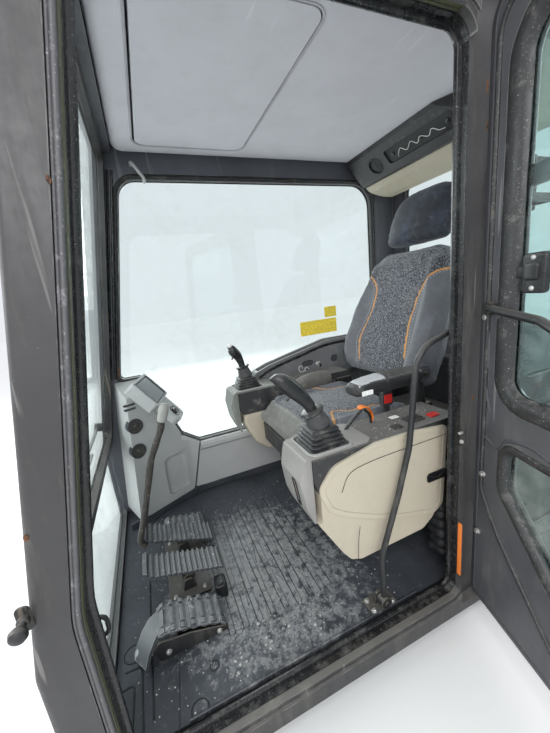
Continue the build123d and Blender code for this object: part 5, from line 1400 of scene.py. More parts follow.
class CAB_OT_controls(bpy.types.Operator):
    """Makes the joysticks, their bellows, the fittings of the consoles and the buckle's button"""
    bl_idname = "cab.controls"
    bl_label = "Controls"

    def execute(self, context):
        settings = context.scene.cab_controls
        for hand, reach, lift in (("left", 1.0, 0.0), ("right", 0.5, -10.0)):
            y = STICK_Y if hand == "left" else -STICK_Y
            bellows(hand + "_stick_bellows", "cab", "black_rubber", "boot_rubber", (STICK_X, y, 601.2),
                (STICK_X, y, 655), 103, 64, settings.fold_depth / MM, settings.folds, hand + "_joystick_boot")
            collar = Piece(hand + "_boot_collar", "cab", "grey_plastic", "worn_collar")
            collar.band(plan(607), oblong(STICK_X - 59, STICK_X + 59, y - 59, y + 59, 16), [(-8, 0.3), (-7.4, 3),
                (-5, 4.6), (-1, 4.6), (0.6, 3), (0.6, -5.5), (-0.2, -5.5), (-0.2, 0.3)])
            collar.done()
            stick = Piece(hand + "_stick", "cab", "black_rubber", "leather_grip", "skirt_plastic", "gloss_plastic",
                "button_white")
            axis = Vector((0.42 * reach, 0, 1)).normalized()
            foot = Vector((STICK_X, y, 655.6))
            right, ahead = LEFT, LEFT.cross(axis)
            skin(stick, [(foot + axis * h, right, ahead, r, r * 0.98) for h, r in ((0, 30), (3, 32.5), (8, 32),
                (22, 28.5), (36, 25.5), (42, 25), (45, 23))], 1, 36)
            top = foot + axis * 45
            skin(stick, [(top + axis * h, right, ahead, r, r * 1.04) for h, r in ((0, 24), (1, 29.5), (4, 30.5),
                (6, 29), (8, 20))], 2, 36)
            stick.slab(plane(top + axis * 1.2, AHEAD, axis), rounded([(-18, 4), (-18, -34), (-4, -36), (8, -22)]
                if y > 0 else [(18, -4), (18, 34), (4, 36), (-8, 22)], 4), 0, 4.5, 1.4, 2)
            start = top + axis * 5
            line = smooth_line([start, start + Vector((10 * reach, 0, 22)), start + Vector((32 * reach, 0, 50)),
                start + Vector((60 * reach, 0, 80 + lift)), start + Vector((84 * reach, 0, 100 + lift)),
                start + Vector((100 * reach + 6, 0, 105 + lift))], 5)
            skin(stick, grip_stations(line, [(14, 14), (14.5, 15), (16.5, 16.5), (19.5, 19.5), (22, 22), (23, 22),
                (21, 19), (14, 12), (3, 2)]), 0, 36, 2.25)
            tip = line[-8]
            face = Vector((0.35 * reach, 0, 1)).normalized() if y > 0 else Vector((0.2, 0.3, 1)).normalized()
            if y < 0:
                stick.lathe(tip + Vector((6, 2, 14)), face, [(12, 0), (12, 5), (10, 7), (0, 7.6)], 3, 24)
                stick.lathe(tip + Vector((6, -12, 13)), face, [(5, 0), (5, 6), (4, 7), (0, 7.4)], 2, 16)
            trigger = line[12] + Vector((14 + 6 * reach, 0, -14))
            skin(stick, [(trigger + Vector((0, 0, -d * 0.5)) + Vector((d * 0.35, 0, 0)), LEFT, (1, 0, 0.5), w,
                w * 0.5) for d, w in ((-12, 4), (-8, 6.5), (0, 7), (10, 6.5), (14, 4))], 2, 20)
            stick.done(hand + "_joystick", sharp=48)

        fittings = Piece("left_console_fittings", "cab", "dark_plastic", "gloss_plastic", "orange_plastic",
            "red_plastic", "white_label")
        nose = plane((273.2, 351, 470), LEFT, (0.9897, 0, -0.1432))
        fittings.band(nose, oblong(-8.4, 8.4, -7.2, 71.2, 5), [(-3, 0.4), (-2.4, 2), (0, 2.4), (1.3, 1.4), (1.3, -3),
            (0.2, -3), (0.2, 0.4)])
        fittings.slab(across(263.2), oblong(345.5, 356.5, 478, 528, 3), 0, 7, 2, 1)
        panel = side(410)
        fittings.slab(panel, oblong(-187, -113, 421, 446, 8), 0.05, 0.9, 0.5)
        fittings.band(panel, oblong(-187, -113, 421, 446, 8), [(-2.5, 0.1), (-2, 1.6), (0, 2.2), (1.5, 1.4),
            (1.5, 0.1)])
        fittings.tube([(-176, 412, 436), (-150, 413.5, 429), (-124, 412, 436)], 1.8)
        for line in ([(180, 495), (151, 541), (79, 554), (-60, 556), (-236, 556)], [(130, 373), (137, 330),
                (141, 270)]):
            points = [Vector((x, 410, z)) for x, z in smooth_line(line, 8)]
            fittings.strip(points, LEFT, [(-0.9, 0.02), (-0.5, 0.35), (0.5, 0.35), (0.9, 0.02)])
        paddle = [(36, 655), (30, 659), (18, 659), (4, 652), (-6, 636), (-9, 618), (-8, 606)]
        skin(fittings, [((x, 300, z), LEFT, (0.5, 0, 1), w, 3.4) for (x, z),
            w in zip(paddle, (7, 10.5, 12, 12, 11.5, 10, 5))], 1, 24, 3)
        fittings.tube([(-6, 300, 600.3), (-7, 300, 612), (0, 300, 632), (18, 300, 650)], 4.2)
        rod = smooth_line([(26, 300, 650), (52, 302, 634), (76, 304, 616), (92, 306, 602)], 9)
        fittings.tube(rod, [4.6 + 0.9 * (k % 2) for k in range(len(rod))])
        fittings.slab(plan(CONSOLE_TOP), oblong(-202, -168, 352, 374, 3), 0.1, 5, 1.5, 2)
        fittings.slab(plan(CONSOLE_TOP), oblong(-150, -92, 330, 372, 6), 0.1, 3, 1)
        fittings.slab(plan(CONSOLE_TOP), oblong(-60, -28, 352, 378, 4), 0.1, 2.2, 0.8)
        fittings.slab(plan(CONSOLE_TOP), oblong(-100, -70, 300, 318, 3), 0.1, 1.2, 0.4, 3)
        fittings.done()
        grit = random.Random(11)
        spots = [(grit.uniform(-240, 118), grit.uniform(268, 396), CONSOLE_TOP + 0.3) for _ in range(150)]
        spots += [(grit.uniform(-240, 118), grit.uniform(-396, -268), CONSOLE_TOP + 0.3) for _ in range(50)]
        repeated("console_crumbs", "cab", "grey_plastic", "crumbs", lambda p: p.lathe((0, 0, 0), UP,
            [(0.9, 0), (1.3, 0.5), (0.8, 1.2), (0.1, 1.4)], sides=5), spots, UP, 1.0, 1.2, 6.0, 3)
        button = Piece("buckle_button", "seat", "dark_plastic", "red_plastic")
        button.slab(side(250), oblong(-131, -101, 622, 652, 5), 0.1, 4, 1.6)
        button.done()
        boot = bellows("rear_console_boot", "cab", "black_rubber", "boot_rubber", (-226, 370, 96), (-226, 352, 415),
            58, 74, 7, 9, corner=0.6, crumple=14)
        boot.data.update()
        return {"FINISHED"}


class CabDashboardSettings(bpy.types.PropertyGroup):
    """Count of the vents' slats."""
    slats: IntProperty(name="Slats", description="Number of slats in an air vent", default=6)


def trim_face(u, z, w=0.0):
    """The slanted face of the corner trim: u along it, z up, w out of it."""
    return Vector((TRIM_X + TRIM_COS * u - TRIM_SIN * w, TRIM_Y + TRIM_SIN * u + TRIM_COS * w, z))


class CAB_OT_dashboard(bpy.types.Operator):
    """Makes the screen, keys, vents, slots, tray switches and the fittings of the right wall"""
    bl_idname = "cab.dashboard"
    bl_label = "Dashboard"

    def execute(self, context):
        mon = plane(MONITOR_CENTRE, MONITOR_ALONG, MONITOR_OUT)
        face = Piece("monitor_face", "cab", "dark_plastic", "screen", "key_silver", "gloss_plastic", "dark_plastic",
            "grey_plastic")
        face.slab(mon, oblong(-54, 54, -74, 74, 5), -0.9, 0.2, 0.4, 0)
        face.band(mon, oblong(-55, 55, -75, 75, 6), [(-3, 2.1), (-2, 3.2), (0.2, 3.2), (2.4, 1.4), (2.4, -0.9),
            (0.1, -0.9), (0.1, 2.1)], 3)
        face.slab(mon, oblong(-105, -77, -43, 45, 4), -7, -2.6, 0.8, 1)
        for k in range(5):
            v = -34 + 17.5 * k
            face.slab(mon, ellipse((-85, v), 4.6, 6.2, 20, 3), -2.6, -0.8, 0.8, 4)
            face.slab(mon, ellipse((-97, v), 3.6, 5.2, 20, 3), -2.6, -1.2, 0.8, 4)
        face.band(mon, ellipse((-134, 0), 24, 31, 40, 2.4), [(-2, -3.9), (-1.6, -2.6), (1, -2), (4.2, -4), (4.2, -8),
            (2, -8), (2, -3.9)], 2)
        knob = plane(mon(-134, 0, -8), MONITOR_ALONG, MONITOR_OUT)
        face.slab(knob, ellipse((0, 0), 14, 19, 36, 2.2), 0, 9, 4.5, 2)
        face.slab(knob, ellipse((2, 0), 7, 10, 28), 8.6, 12, 3, 2)
        for u, v in ((-166, -30), (-166, 32), (58, -82), (58, 80)):
            level = -4 if u < 0 else 2
            face.slab(mon, ellipse((u, v), 2.6, 2.6, 12), level + 0.05, level + 0.9, 0.5, 3)
        face.done()

        vents = Piece("air_vents", "cab", "dark_plastic", "vent_plastic", "dark_plastic")
        along, out = Vector((TRIM_COS, TRIM_SIN, 0)), Vector((-TRIM_SIN, TRIM_COS, 0))
        slats = context.scene.cab_dashboard.slats
        for x, z in ((683, 536), (690, 427)):
            u = (x - TRIM_X) / TRIM_COS
            disc = plane(trim_face(u, z, 12), along, out)
            vents.band(disc, ellipse((0, 0), 30.6, 30.6, 44), [(-1, -26), (-1, 0.6), (1.6, 2), (4, 1.6), (5.2, -1),
                (5.2, -26)], 1)
            for k in range(slats):
                v = -21 + 42 * k / (slats - 1)
                half = math.sqrt(26 ** 2 - v ** 2)
                vents.slab(plane(trim_face(u, z - v, 12), along, out + Vector((0, 0, -0.5))), rectangle((-half, half),
                    (-3, 3)), -0.8, 0.8)
            vents.lathe(trim_face(u, z, 10), out, [(8, 0), (8, 5.0), (6, 7), (0, 7.4)], 0, 28)
            vents.slab(disc, ellipse((0, 0), 27, 27, 40), -26, -1.5)
        for z in (612, 630):
            slot = plane(trim_face(232, z, 9), along, out)
            vents.slab(slot, oblong(-23, 23, -4, 4, 3.9), -9, 1.2, 0.6, 1)
        vents.done()

        tray = Piece("tray_switches", "cab", "grey_plastic", "switch_plate", "button_white", "gloss_plastic",
            "white_label", "dark_plastic")
        slope = -0.2058
        run = Vector((1, 0, slope)).normalized()
        up = Vector((-slope, 0, 1)).normalized()
        bed = plane((-145, -427, 672.6), run, up)
        for k in range(4):
            u = -66 + 44 * k
            tray.slab(bed, oblong(u - 19, u + 19, -13.5, 13.5, 3), 0, 4.4, 1.2, 0)
            rock = [bed(u + a, b, w) for a, b, w in ((-15, -10, 4), (15, -10, 4), (15, 10, 4), (-15, 10, 4))]
            high = [bed(u + a, b, w) for a, b, w in ((-14, -9, 6), (14, -9, 9.5), (14, 9, 9.5), (-14, 9, 6))]
            tray.add([rock, high], finish=1)
            tray.slab(bed, rectangle((u - 4, u + 6), (-1.6, 1.6)), 6.5, 8.9, 0.4, 4)
        rail = smooth_line([(98, 624), (36, 653), (-120, 690), (-302, 727), (-545, 729)], 4)
        tray.strip([(x, -396.6, z - 8) for x, z in rail], LEFT, dome(15, 2.4), 2)
        rest = plane((-360, -427, 729.3), AHEAD, UP)
        tray.slab(rest, oblong(-118, 40, -11, 11, 10), 0.1, 2.4, 1, 4)
        tray.slab(rest, oblong(-40, -12, -8, 8, 4), 2.4, 5.4, 1, 1)
        tray.tube([(60, -430, 636), (60, -430, 643)], 14, 2, 28)
        wall = side(-449.6)
        for u, v, a, b in ((-170, 640, 30, 12), (-420, 660, 26, 18), (-330, 640, 16, 16)):
            tray.slab(wall, ellipse((u, v), a, b, 32, 2.6), 51.9, 52.9, 0.6, 4)
            tray.band(side(-396.7), ellipse((u, v), a, b, 32, 2.6), [(-2, 0.1), (-1, 1.6), (1, 1.6), (2, 0.1)], 2)
        tray.done()
        wires = Piece("wall_wires", "cab", "clear_glass", "white_wire")
        loops = [[(-140, -395, 618), (-128, -388, 634), (-112, -386, 628), (-118, -388, 608), (-134, -390, 600),
            (-146, -393, 607)], [(-176, -395, 606), (-160, -388, 622), (-146, -387, 612), (-156, -389, 594),
            (-172, -394, 588)]]
        for loop in loops:
            wires.tube(smooth_line(loop, 6), 1.3, sides=8)
        wires.done()
        key = Piece("start_key", "cab", "worn_steel", "silver_bolt", "gloss_plastic")
        key.lathe((-231, -396.9, 624), LEFT, [(15, 0), (15, 2), (13, 4), (9, 4.4), (9, 7), (0, 7.2)], 0, 28)
        key.slab(plane((-231, -389.6, 624), LEFT, AHEAD), rounded([(-1, -2), (8, -2), (10, -8), (26, -8), (26, 8),
            (10, 8), (8, 2), (-1, 2)], 2), -1.3, 1.3, 0.4, 1)
        key.done()
        return {"FINISHED"}


def ring_body(piece, centre, axis, inner, outer, half, finish):
    """Round hub with a bore through it."""
    centre, axis = Vector(centre), Vector(axis)
    right = axis.orthogonal().normalized()
    up = axis.cross(right)
    rows = [[centre + axis * h + (right * c + up * s) * r for c, s in circle(28)] for r,
        h in ((outer, -half), (outer, half), (inner, half), (inner, -half))]
    return piece.add(rows, ring=True, finish=finish)


def ridged_pad(piece, xs, ys, height, count, ridge=6.0, thick=11.0, curl=0.0, finish=0, rows_of_blocks=1):
    """Rubber pedal cover with cross ridges that hang over its sides."""
    rows = []
    for k in range(count * 6 + 1):
        share = k / (count * 6)
        x = xs[0] + (xs[1] - xs[0]) * share
        wave = 0.5 - 0.5 * math.cos(2 * math.pi * share * count)
        up = ridge * blend_step(0.15, 0.6, wave)
        end = min(1.0, share * count * 1.5, (1 - share) * count * 1.5)
        z = height(x) + curl * max(0.0, (share - 0.86) / 0.14) ** 2
        top, half = z + up * end - (1 - end) * 4, (ys[1] - ys[0]) / 2 + up * 0.45 - 1.8
        middle = (ys[0] + ys[1]) / 2
        loop = []
        for p in ellipse((0, 0), half, 1, 48 if rows_of_blocks == 1 else 112, 5):
            s = p.x / half
            notch = 1.0 if rows_of_blocks == 1 else blend_step(0.15, 0.6,
                abs(math.sin(math.pi * (s + 1) / 2 * rows_of_blocks)))
            level = top - (1 - notch) * up - 2.2 * s * s if p.y > 0 else z - thick
            if abs(p.y) < 0.6:
                level = z - thick + (top - z + thick - 2.2) * (0.5 + p.y * 0.5)
            loop.append(Vector((x, middle + p.x, level)))
        rows.append(loop)
    return piece.add(rows, finish=finish)


class CabFloorSettings(bpy.types.PropertyGroup):
    """Counts of the ridges on the pedals and the studs on the mat."""
    ridges: IntProperty(name="Ridges", description="Cross ridges on a travel pedal", default=15)
    studs: FloatProperty(name="Stud spacing", description="Distance between the mat's studs", default=0.017,
        unit="LENGTH")


class CAB_OT_floor(bpy.types.Operator):
    """Makes the mat's lines, rings and studs, the pedals with their covers, and the travel lever"""
    bl_idname = "cab.floor"
    bl_label = "Floor"

    def execute(self, context):
        settings = context.scene.cab_floor
        mat = Piece("mat_relief", "cab", "black_rubber", "mat_line", "mat_rubber")
        line = [(-0.9, 0.02), (-0.6, 0.7), (0.6, 0.7), (0.9, 0.02)]
        wide = [(-2.6, 0.02), (-1.8, 1.6), (1.8, 1.6), (2.6, 0.02)]

        def ground(points, level=MAT_TOP):
            return [Vector((x, y, level)) for x, y in points]

        for path in ([(652, 296), (609, 267), (508, 245)], [(519, 289), (459, 294), (518, 329)],
                [(644, 305), (658, 446)], [(387, -240), (430, 240)], [(300, -240), (386, 286)],
                [(252, -151), (282, 312)], [(155, -213), (219, 133)], [(470, -420), (486, -250), (476, -120)]):
            mat.strip(ground(path), UP, line)
        mat.strip(ground([(711, -3), (712, 200), (711, 395)]), UP, wide)
        for path in ([(777, 262), (736, 264), (734, 409)], [(784, 303), (754, 300), (757, 395)]):
            mat.strip(ground(rounded(path, 10, closed=False)), UP, wide)
        for centre, radius in (((609, 424), 20), ((757, 221), 25), ((560, 350), 12)):
            mat.band(plan(MAT_TOP), ellipse(centre, radius, radius, 40), [(-1.6, 0.02), (-1, 1.2), (1, 1.2),
                (1.6, 0.02)])
            mat.slab(plan(MAT_TOP), ellipse(centre, radius - 4, radius - 4, 36), 0.02, 0.6, finish=1)
        mat.strip(ground([(635, 436), (297, 436), (-40, 436)]), UP, [(-3, 0.1), (-3, 4), (0, 6), (2.6, 4),
            (2.6, 0.1)], 1)
        rim = smooth_line([(748, -322), (600, -392), (470, -448), (300, -450), (90, -450), (-60, -450)], 4)
        mat.strip(ground(rim, MAT_TOP + 28), UP, [(-5, 0.1), (-4, 3.4), (0, 4.4), (4, 3.4), (5, 0.1)], 1)
        inner = smooth_line([(690, -330), (602, -392), (430, -430), (241, -425), (100, -420), (20, -400)], 4)
        mat.strip(ground(inner), UP, [(-2.4, 0.02), (-1.6, 2), (1.6, 2), (2.4, 0.02)])
        for k in range(9):
            for x in (152.2 + 42 * k, 167.8 + 42 * k):
                mat.strip(ground([(x, -228), (x + 1, 60), (x, 298)]), UP, [(-1.5, 0.02), (-1.2, 0.5), (1.2, 0.5),
                    (1.5, 0.02)])
        mat.slab(plan(MAT_TOP), oblong(476, 512, 126, 176, 10), 0.1, 46, 5, 0)
        mat.slab(plan(MAT_TOP), oblong(484, 504, 134, 168, 6), 46, 49, 2, 0)
        mat.done()
        spacing = settings.studs / MM
        field = [Vector(p) for p in ((519, 291), (184, 306), (293, 430), (554, 395))]
        chance = random.Random(4)
        places = []
        for i in range(24):
            for j in range(12):
                x, y = 184 + i * spacing + (j % 2) * spacing / 2, 304 + j * spacing * 0.9
                inside = all((b - a).cross(Vector((x, y)) - a) < 0 for a, b in zip(field, field[1:] + field[:1]))
                if inside and chance.random() > 0.1:
                    places.append((x, y, MAT_TOP + 0.05))
        repeated("mat_studs", "cab", "black_rubber", "stud_rubber", lambda p: p.lathe((0, 0, 0), UP,
            [(4.6, 0), (4.2, 1.6), (3, 2.3), (0.1, 2.5)], sides=8), places, UP, 1.0, 0.5, 6.0, 2)
        dirt = [(chance.uniform(-40, 760), chance.uniform(-330, 430), MAT_TOP + 0.4) for _ in range(620)]
        repeated("floor_grit", "cab", "grey_plastic", "crumbs", lambda p: p.lathe((0, 0, 0), UP,
            [(0.9, 0), (1.4, 0.5), (0.7, 1.3), (0.1, 1.5)], sides=5), dirt, UP, 1.0, 1.6, 6.0, 8)

        for name, body, (low, high), toe, heel in (("right", "right_pedal", (-148, -52), 212, 128),
                ("left", "left_pedal", (22, 116), 216, 150)):
            pedal = Piece(name + "_pedal_cover", body, "black_rubber", "pedal_rubber", "black_paint", "lever_rubber",
                "worn_steel", "worn_collar")
            ridged_pad(pedal, (468, 708), (low, high), lambda x: heel - 1 + (toe - heel) * (x - 470) / 230,
                settings.ridges, 6.5, 10, 22)
            middle = (low + high) / 2
            under = heel + (toe - heel) * 115 / 230 - 12
            pedal.slab(side(middle - 15), [Vector(p) for p in ((569, 124), (571, 112), (585, 105.5), (599, 112),
                (601, 124), (612, under), (560, under - 9))], 0, 1)
            ring_body(pedal, (585, middle, 122), LEFT, 6.4, 17, 16, 1)
            for y in (middle - 12, middle + 12):
                pedal.slab(side(y - 3), [Vector(p) for p in ((570, 130), (600, 130), (614, under + 3),
                    (558, under - 6))], 0, 6, finish=1)
            if name == "right":
                lever = smooth_line([(704, -62, 190), (716, -62, 206), (712, -62, 236), (692, -62, 293),
                    (661, -62, 396), (631, -62, 497), (606, -62, 552), (583, -62, 597), (570, -62, 636)], 5)
                pedal.tube(lever, [11.2 + 0.7 * math.sin(k * 0.9) for k in range(len(lever))], 2, 20)
                knob = [(14, 0), (15.5, 6), (16.5, 20), (17, 38), (16, 52), (12, 60), (5, 63), (0.5, 63.4)]
                pedal.lathe((572, -62, 630), Vector((-0.33, 0, 0.944)), knob, 4, 28)
                pedal.lathe((576, -62, 622), Vector((-0.33, 0, 0.944)), [(10, 0), (13, 2), (13, 9), (10, 11)], 2, 28)
            pedal.done(name + "_travel_pedal", sharp=50)

        near = Piece("auxiliary_pedal_cover", "cab", "black_rubber", "pedal_rubber", "black_paint", "silver_bolt")
        ridged_pad(near, (500, 684), (176, 272), lambda x: 112 + 56 * (x - 500) / 184 + 10 * math.sin((x - 500) / 184
            * 3.14), 7, 7.5, 9, 0, 0, 5)
        flap = [(672, 222, 162), (690, 230, 160), (708, 242, 148), (724, 254, 126), (738, 264, 100)]
        near.strip(flap, [Vector((0.1, 0.1, 1)), Vector((0.4, 0.2, 1)), Vector((0.8, 0.4, 1)),
            Vector((0.9, 0.5, 0.7)), Vector((1, 0.6, 0.6))], [(-30, 0), (-29, 4.5), (29, 4.5), (30, 0), (30, -3),
            (-30, -3)])
        near.slab(side(274), rounded([(505, 92), (690, 92), (700, 128), (684, 152), (600, 138), (505, 108)], 8), 0, 4,
            1.2, 1)
        near.slab(plan(MAT_TOP), oblong(520, 660, 196, 262, 8), 0.3, 6, 2, 1)
        near.slab(plan(MAT_TOP), oblong(560, 640, 206, 246, 6), 6, 34, 0, 1)
        near.hexagon((528, 278, 101), LEFT, 11, 6, 2)
        near.hexagon((664, 278, 112), LEFT, 11, 6, 2)
        near.done("auxiliary_pedal", sharp=50)
        far = Piece("small_pedal_cover", "cab", "black_rubber", "pedal_rubber", "black_paint")
        ridged_pad(far, (488, 640), (-262, -192), lambda x: 106 + 30 * (x - 490) / 150, 6, 7, 8, 0, 0, 5)
        far.slab(plan(MAT_TOP), oblong(545, 610, -252, -202, 6), 0.3, 24, 0, 1)
        far.done("small_pedal", sharp=50)
        bolts = [(540, y, MAT_TOP + 8.1) for y in (-145, -20, 110)] + [(632, y, MAT_TOP + 8.1) for y in (-145, -20,
            110)]
        bolts += [(45, 395, MAT_TOP + 5.1), (45, 428, MAT_TOP + 5.1), (110, 395, MAT_TOP + 5.1),
            (110, 428, MAT_TOP + 5.1)]
        repeated("floor_bolts", "cab", "worn_steel", "silver_bolt", lambda p: bolt_head(p, 11, 7), bolts, UP, 1.0,
            0.0, 6.0, 7)
        return {"FINISHED"}


class CabDoorSettings(bpy.types.PropertyGroup):
    """Size of the door's perimeter seal."""
    bead: FloatProperty(name="Bead", description="Radius of the door's perimeter seal", default=0.0058, unit="LENGTH")


class CAB_OT_door(bpy.types.Operator):
    """Makes the door's seals, raised edge, pressed beads and bolts, and the latch of its pane"""
    bl_idname = "cab.door"
    bl_label = "Door"

    def execute(self, context):
        inner, outer = opened(side(DOOR_INNER_Y, -1)), opened(side(DOOR_OUTER_Y, 1))
        seal = Piece("door_perimeter_seal", "door", "black_rubber", "seal_rubber")
        bead = context.scene.cab_door.bead / MM
        seal.band(inner, rounded(DOOR_SEAL, DOOR_SEAL_RADII, 7), [(bead * math.cos(a), -0.2 + bead * math.sin(a))
            for a in (2 * math.pi * k / 12 for k in range(12))])
        seal.done()
        panes = Piece("door_window_seals", "door", "black_rubber", "seal_rubber", "gloss_rubber")
        top, low = rounded(DOOR_TOP_WINDOW, DOOR_TOP_RADII, 7), rounded(DOOR_LOW_WINDOW, DOOR_LOW_RADII, 7)
        panes.band(inner, top, [(-31, -2.9), (-30, 1), (-25, 3.5), (-15, 4.2), (-5, 3), (2, -1), (8, -7), (11, -13),
            (10.5, -14.8), (1, -14.8), (1, -2.9)])
        panes.band(inner, low, [(-17, -2.9), (-16, 1), (-12, 3), (-6, 3), (0, 1), (5, -4), (8, -12), (7.5, -14.8),
            (1, -14.8), (1, -2.9)])
        for line in (top, low):
            panes.band(outer, line, [(0.2, -14.6), (9, -14.6), (7, -6), (3, -1.5), (0.2, -0.6)], 1)
        panes.done()
        skin_ = Piece("door_pressing", "door", "door_paint", "door_paint", "silver_bolt")
        bead_section = [(-4.5, -0.1), (-3, 1.6), (0, 2.6), (3, 1.6), (4.5, -0.1)]
        edge = widened(rounded(DOOR_OUTLINE, DOOR_OUTLINE_RADII, 7), -6)
        skin_.band(inner, edge, [(-5.5, 0.1), (-5.2, 1.2), (-4.4, 1.5), (6, 1.5), (7.5, 0.1)])
        for path in ([(-262, 1400), (-258, 1100), (-257, 900), (-252, 806), (-258, 740), (-240, 664)],
                [(-252, 592), (-205, 580), (-182, 613), (-120, 628), (-73, 620)], [(640, 640), (700, 640),
                (716, 600)]):
            skin_.band(inner, smooth_line(path, 6), bead_section, closed=False)
        bar_bolts = [(-262, 921), (-262, 898), (-252, 486), (-262, 300)]
        for u, v in bar_bolts:
            skin_.hexagon(inner(u, v, 0.1), inner(0, 0, 1) - inner(0, 0, 0), 12, 8, 1)
        skin_.done()
        latch = Piece("pane_latch", "door", "dark_plastic", "gloss_plastic", "silver_bolt")
        glass = opened(side(527, -1))
        latch.slab(glass, rounded([(-176, 952), (-122, 952), (-122, 1030), (-176, 1030)], 9), 0.1, 12, 3)
        latch.slab(glass, rounded([(-166, 978), (-134, 978), (-134, 1012), (-166, 1012)], 6), 12, 17.6, 3)
        latch.slab(glass, rounded([(-197, 984), (-170, 984), (-170, 1006), (-197, 1006)], 4), 0.1, 9, 2)
        for v in (962, 1021):
            latch.lathe(glass(-149, v, 12), glass(0, 0, 1) - glass(0, 0, 0), [(5.5, 0), (5.2, 1.6), (3, 2.8), (0, 3)],
                1, 20)
        latch.done()
        return {"FINISHED"}


class CabCeilingSettings(bpy.types.PropertyGroup):
    """Count of the rings of holes in the speaker."""
    holes: IntProperty(name="Speaker rings", description="Rings of holes in the speaker's cover", default=5)


class CAB_OT_ceiling(bpy.types.Operator):
    """Makes the speaker, the wire under the panel, the trim round the hatch and the beam's screws"""
    bl_idname = "cab.ceiling"
    bl_label = "Ceiling"

    def execute(self, context):
        face = plane(OVERHEAD_CENTRE, LEFT, OVERHEAD_OUT)
        out = Vector(OVERHEAD_OUT)
        up_sign = 1 if face(0, 10).z > OVERHEAD_CENTRE[2] else -1
        speaker = Piece("overhead_speaker", "cab", "dark_plastic", "speaker_mesh", "gloss_plastic")
        centre = Vector((-292, -5))
        speaker.band(face, ellipse(centre, 39.4, 39.4, 48), [(0, -7.6), (0, 1), (2, 2.4), (5, 1.6), (6, -2),
            (6, -7.6)], 1)
        speaker.lathe(face(centre.x, centre.y, -7.8), out, [(33.2, 0), (33, 2), (24, 4.4), (12, 5.6), (0, 6)], 0, 40)
        speaker.slab(face, oblong(-208, 113, -24, 28, 10), -7.9, -6.6, 1, 0)
        for u in (-180, -30, 90):
            speaker.lathe(face(u, 2, -6.6), out, [(9, 0), (9, 4), (6, 5.4), (0, 5.6)], 1, 24)
        speaker.done()
        points = []
        for ring in range(1, context.scene.cab_ceiling.holes + 1):
            radius = 5.4 * ring
            for k in range(6 * ring):
                turn = 2 * math.pi * k / (6 * ring)
                points.append(face(centre.x + radius * math.cos(turn), centre.y + radius * math.sin(turn),
                    -1.8 - 3.6 * (radius / 33) ** 2))
        repeated("speaker_holes", "cab", "dark_plastic", "gloss_plastic", lambda p: p.lathe((0, 0, 0), UP,
            [(1.5, 0), (1.5, 0.5), (0.1, 0.55)], sides=8), points, out)
        wire = Piece("overhead_wire", "cab", "clear_glass", "white_wire")
        path = [face(-150 + 26 * k, (-8 + 18 * (k % 2)) * up_sign, 1.5 + 6 * ((k * 7) % 3) / 2) for k in range(9)]
        wire.tube([face(-162, -20, -6.5)] + smooth_line(path, 8) + [face(70, -16, -6.5)], 1.4, sides=8)
        wire.done()
        hatch = Piece("hatch_fittings", "cab", "grey_plastic", "ceiling_trim")
        line = oblong(61, 484, -381, 310, 43, 8)
        hatch.band(plan(CEILING_Z, -1), widened(line, 3), [(-2.4, -0.1), (-1.8, 1.6), (1.4, 1.6), (2.0, -0.1)])
        hatch.done()
        beam = Piece("beam_screws", "cab", "dark_metal", "silver_bolt")
        for y in (-380, -130, 130, 380):
            beam.lathe((-648, y, 1461), Vector((0.5, 0, -0.86)), [(6, -2), (6, 3), (4, 4.4), (0, 4.6)], 0, 20)
        beam.done()
        return {"FINISHED"}


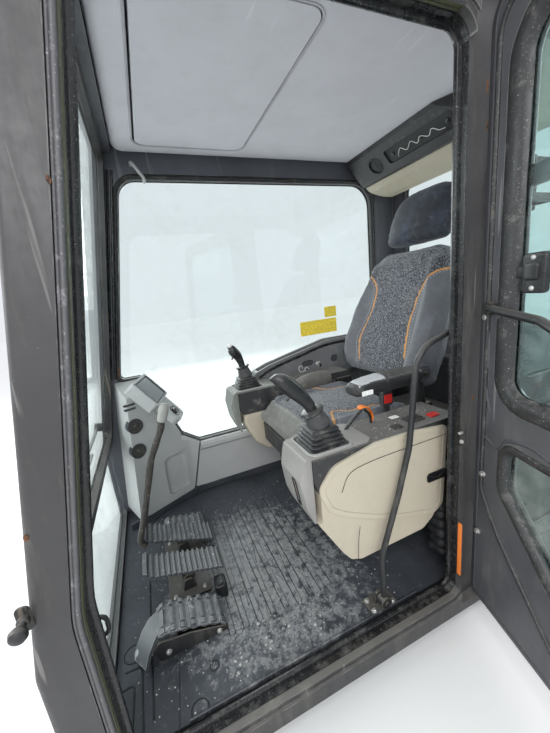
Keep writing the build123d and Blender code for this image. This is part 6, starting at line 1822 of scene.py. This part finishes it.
class CAB_OT_outside(bpy.types.Operator):
    """Makes the left side's pressed bead and bolts and the roof's gutter; the other sides end at the CAD's box"""
    bl_idname = "cab.outside"
    bl_label = "Outside"

    def execute(self, context):
        beads = Piece("shell_pressings", "cab", "structure_paint", "shell_paint")
        bead = [(-7, -0.1), (-4.5, 2.6), (0, 3.8), (4.5, 2.6), (7, -0.1)]
        beads.band(side(HALF_WIDTH), oblong(-790, -350, 200, 600, 40), bead)
        beads.done()
        gutter = Piece("roof_gutter", "cab", "black_rubber", "gloss_rubber")
        roof = [(x, y * (HALF_WIDTH - 24)) for x, y in ((-790, -1), (520, -1), (520, 1), (-790, 1))]
        gutter.band(plan(ROOF_TOP_Z - 0.2), rounded(roof, 60, 8), [(-5, 0), (-4, 3), (0, 4.4), (4, 3), (5, 0)])
        gutter.done()
        bolts = [(x, HALF_WIDTH, 118) for x in (-820, -460)]
        repeated("shell_bolts", "cab", "worn_steel", "silver_bolt", lambda p: bolt_head(p, 13, 8), bolts, LEFT, 1.0,
            0.0, 6.0, 4)
        return {"FINISHED"}


class CAB_PT_panel(bpy.types.Panel):
    """Lists the steps that finish the cab"""
    bl_idname = "CAB_PT_panel"
    bl_label = "Operator Cab"
    bl_space_type = "VIEW_3D"
    bl_region_type = "UI"
    bl_category = "Cab"

    def draw(self, context):
        for name in STEPS:
            self.layout.operator("cab." + name)


STEPS = ("stage", "finishes", "seals", "pillar_marks", "seat", "controls", "dashboard", "floor", "door", "ceiling",
    "outside")
SETTINGS = {"cab_stage": CabStageSettings, "cab_seals": CabSealSettings, "cab_seat": CabSeatSettings,
    "cab_controls": CabControlSettings, "cab_dashboard": CabDashboardSettings, "cab_floor": CabFloorSettings,
    "cab_door": CabDoorSettings, "cab_ceiling": CabCeilingSettings}
CLASSES = (*SETTINGS.values(), CAB_OT_stage, CAB_OT_finishes, CAB_OT_seals, CAB_OT_pillar_marks, CAB_OT_seat,
    CAB_OT_controls, CAB_OT_dashboard, CAB_OT_floor, CAB_OT_door, CAB_OT_ceiling, CAB_OT_outside, CAB_PT_panel)


def register():
    for cls in CLASSES:
        bpy.utils.register_class(cls)
    for name, cls in SETTINGS.items():
        setattr(bpy.types.Scene, name, PointerProperty(type=cls))


def unregister():
    for name in SETTINGS:
        delattr(bpy.types.Scene, name)
    for cls in reversed(CLASSES):
        bpy.utils.unregister_class(cls)


def main():
    register()
    for name in STEPS:
        getattr(bpy.ops.cab, name)()


if __name__ == "__main__":
    main()
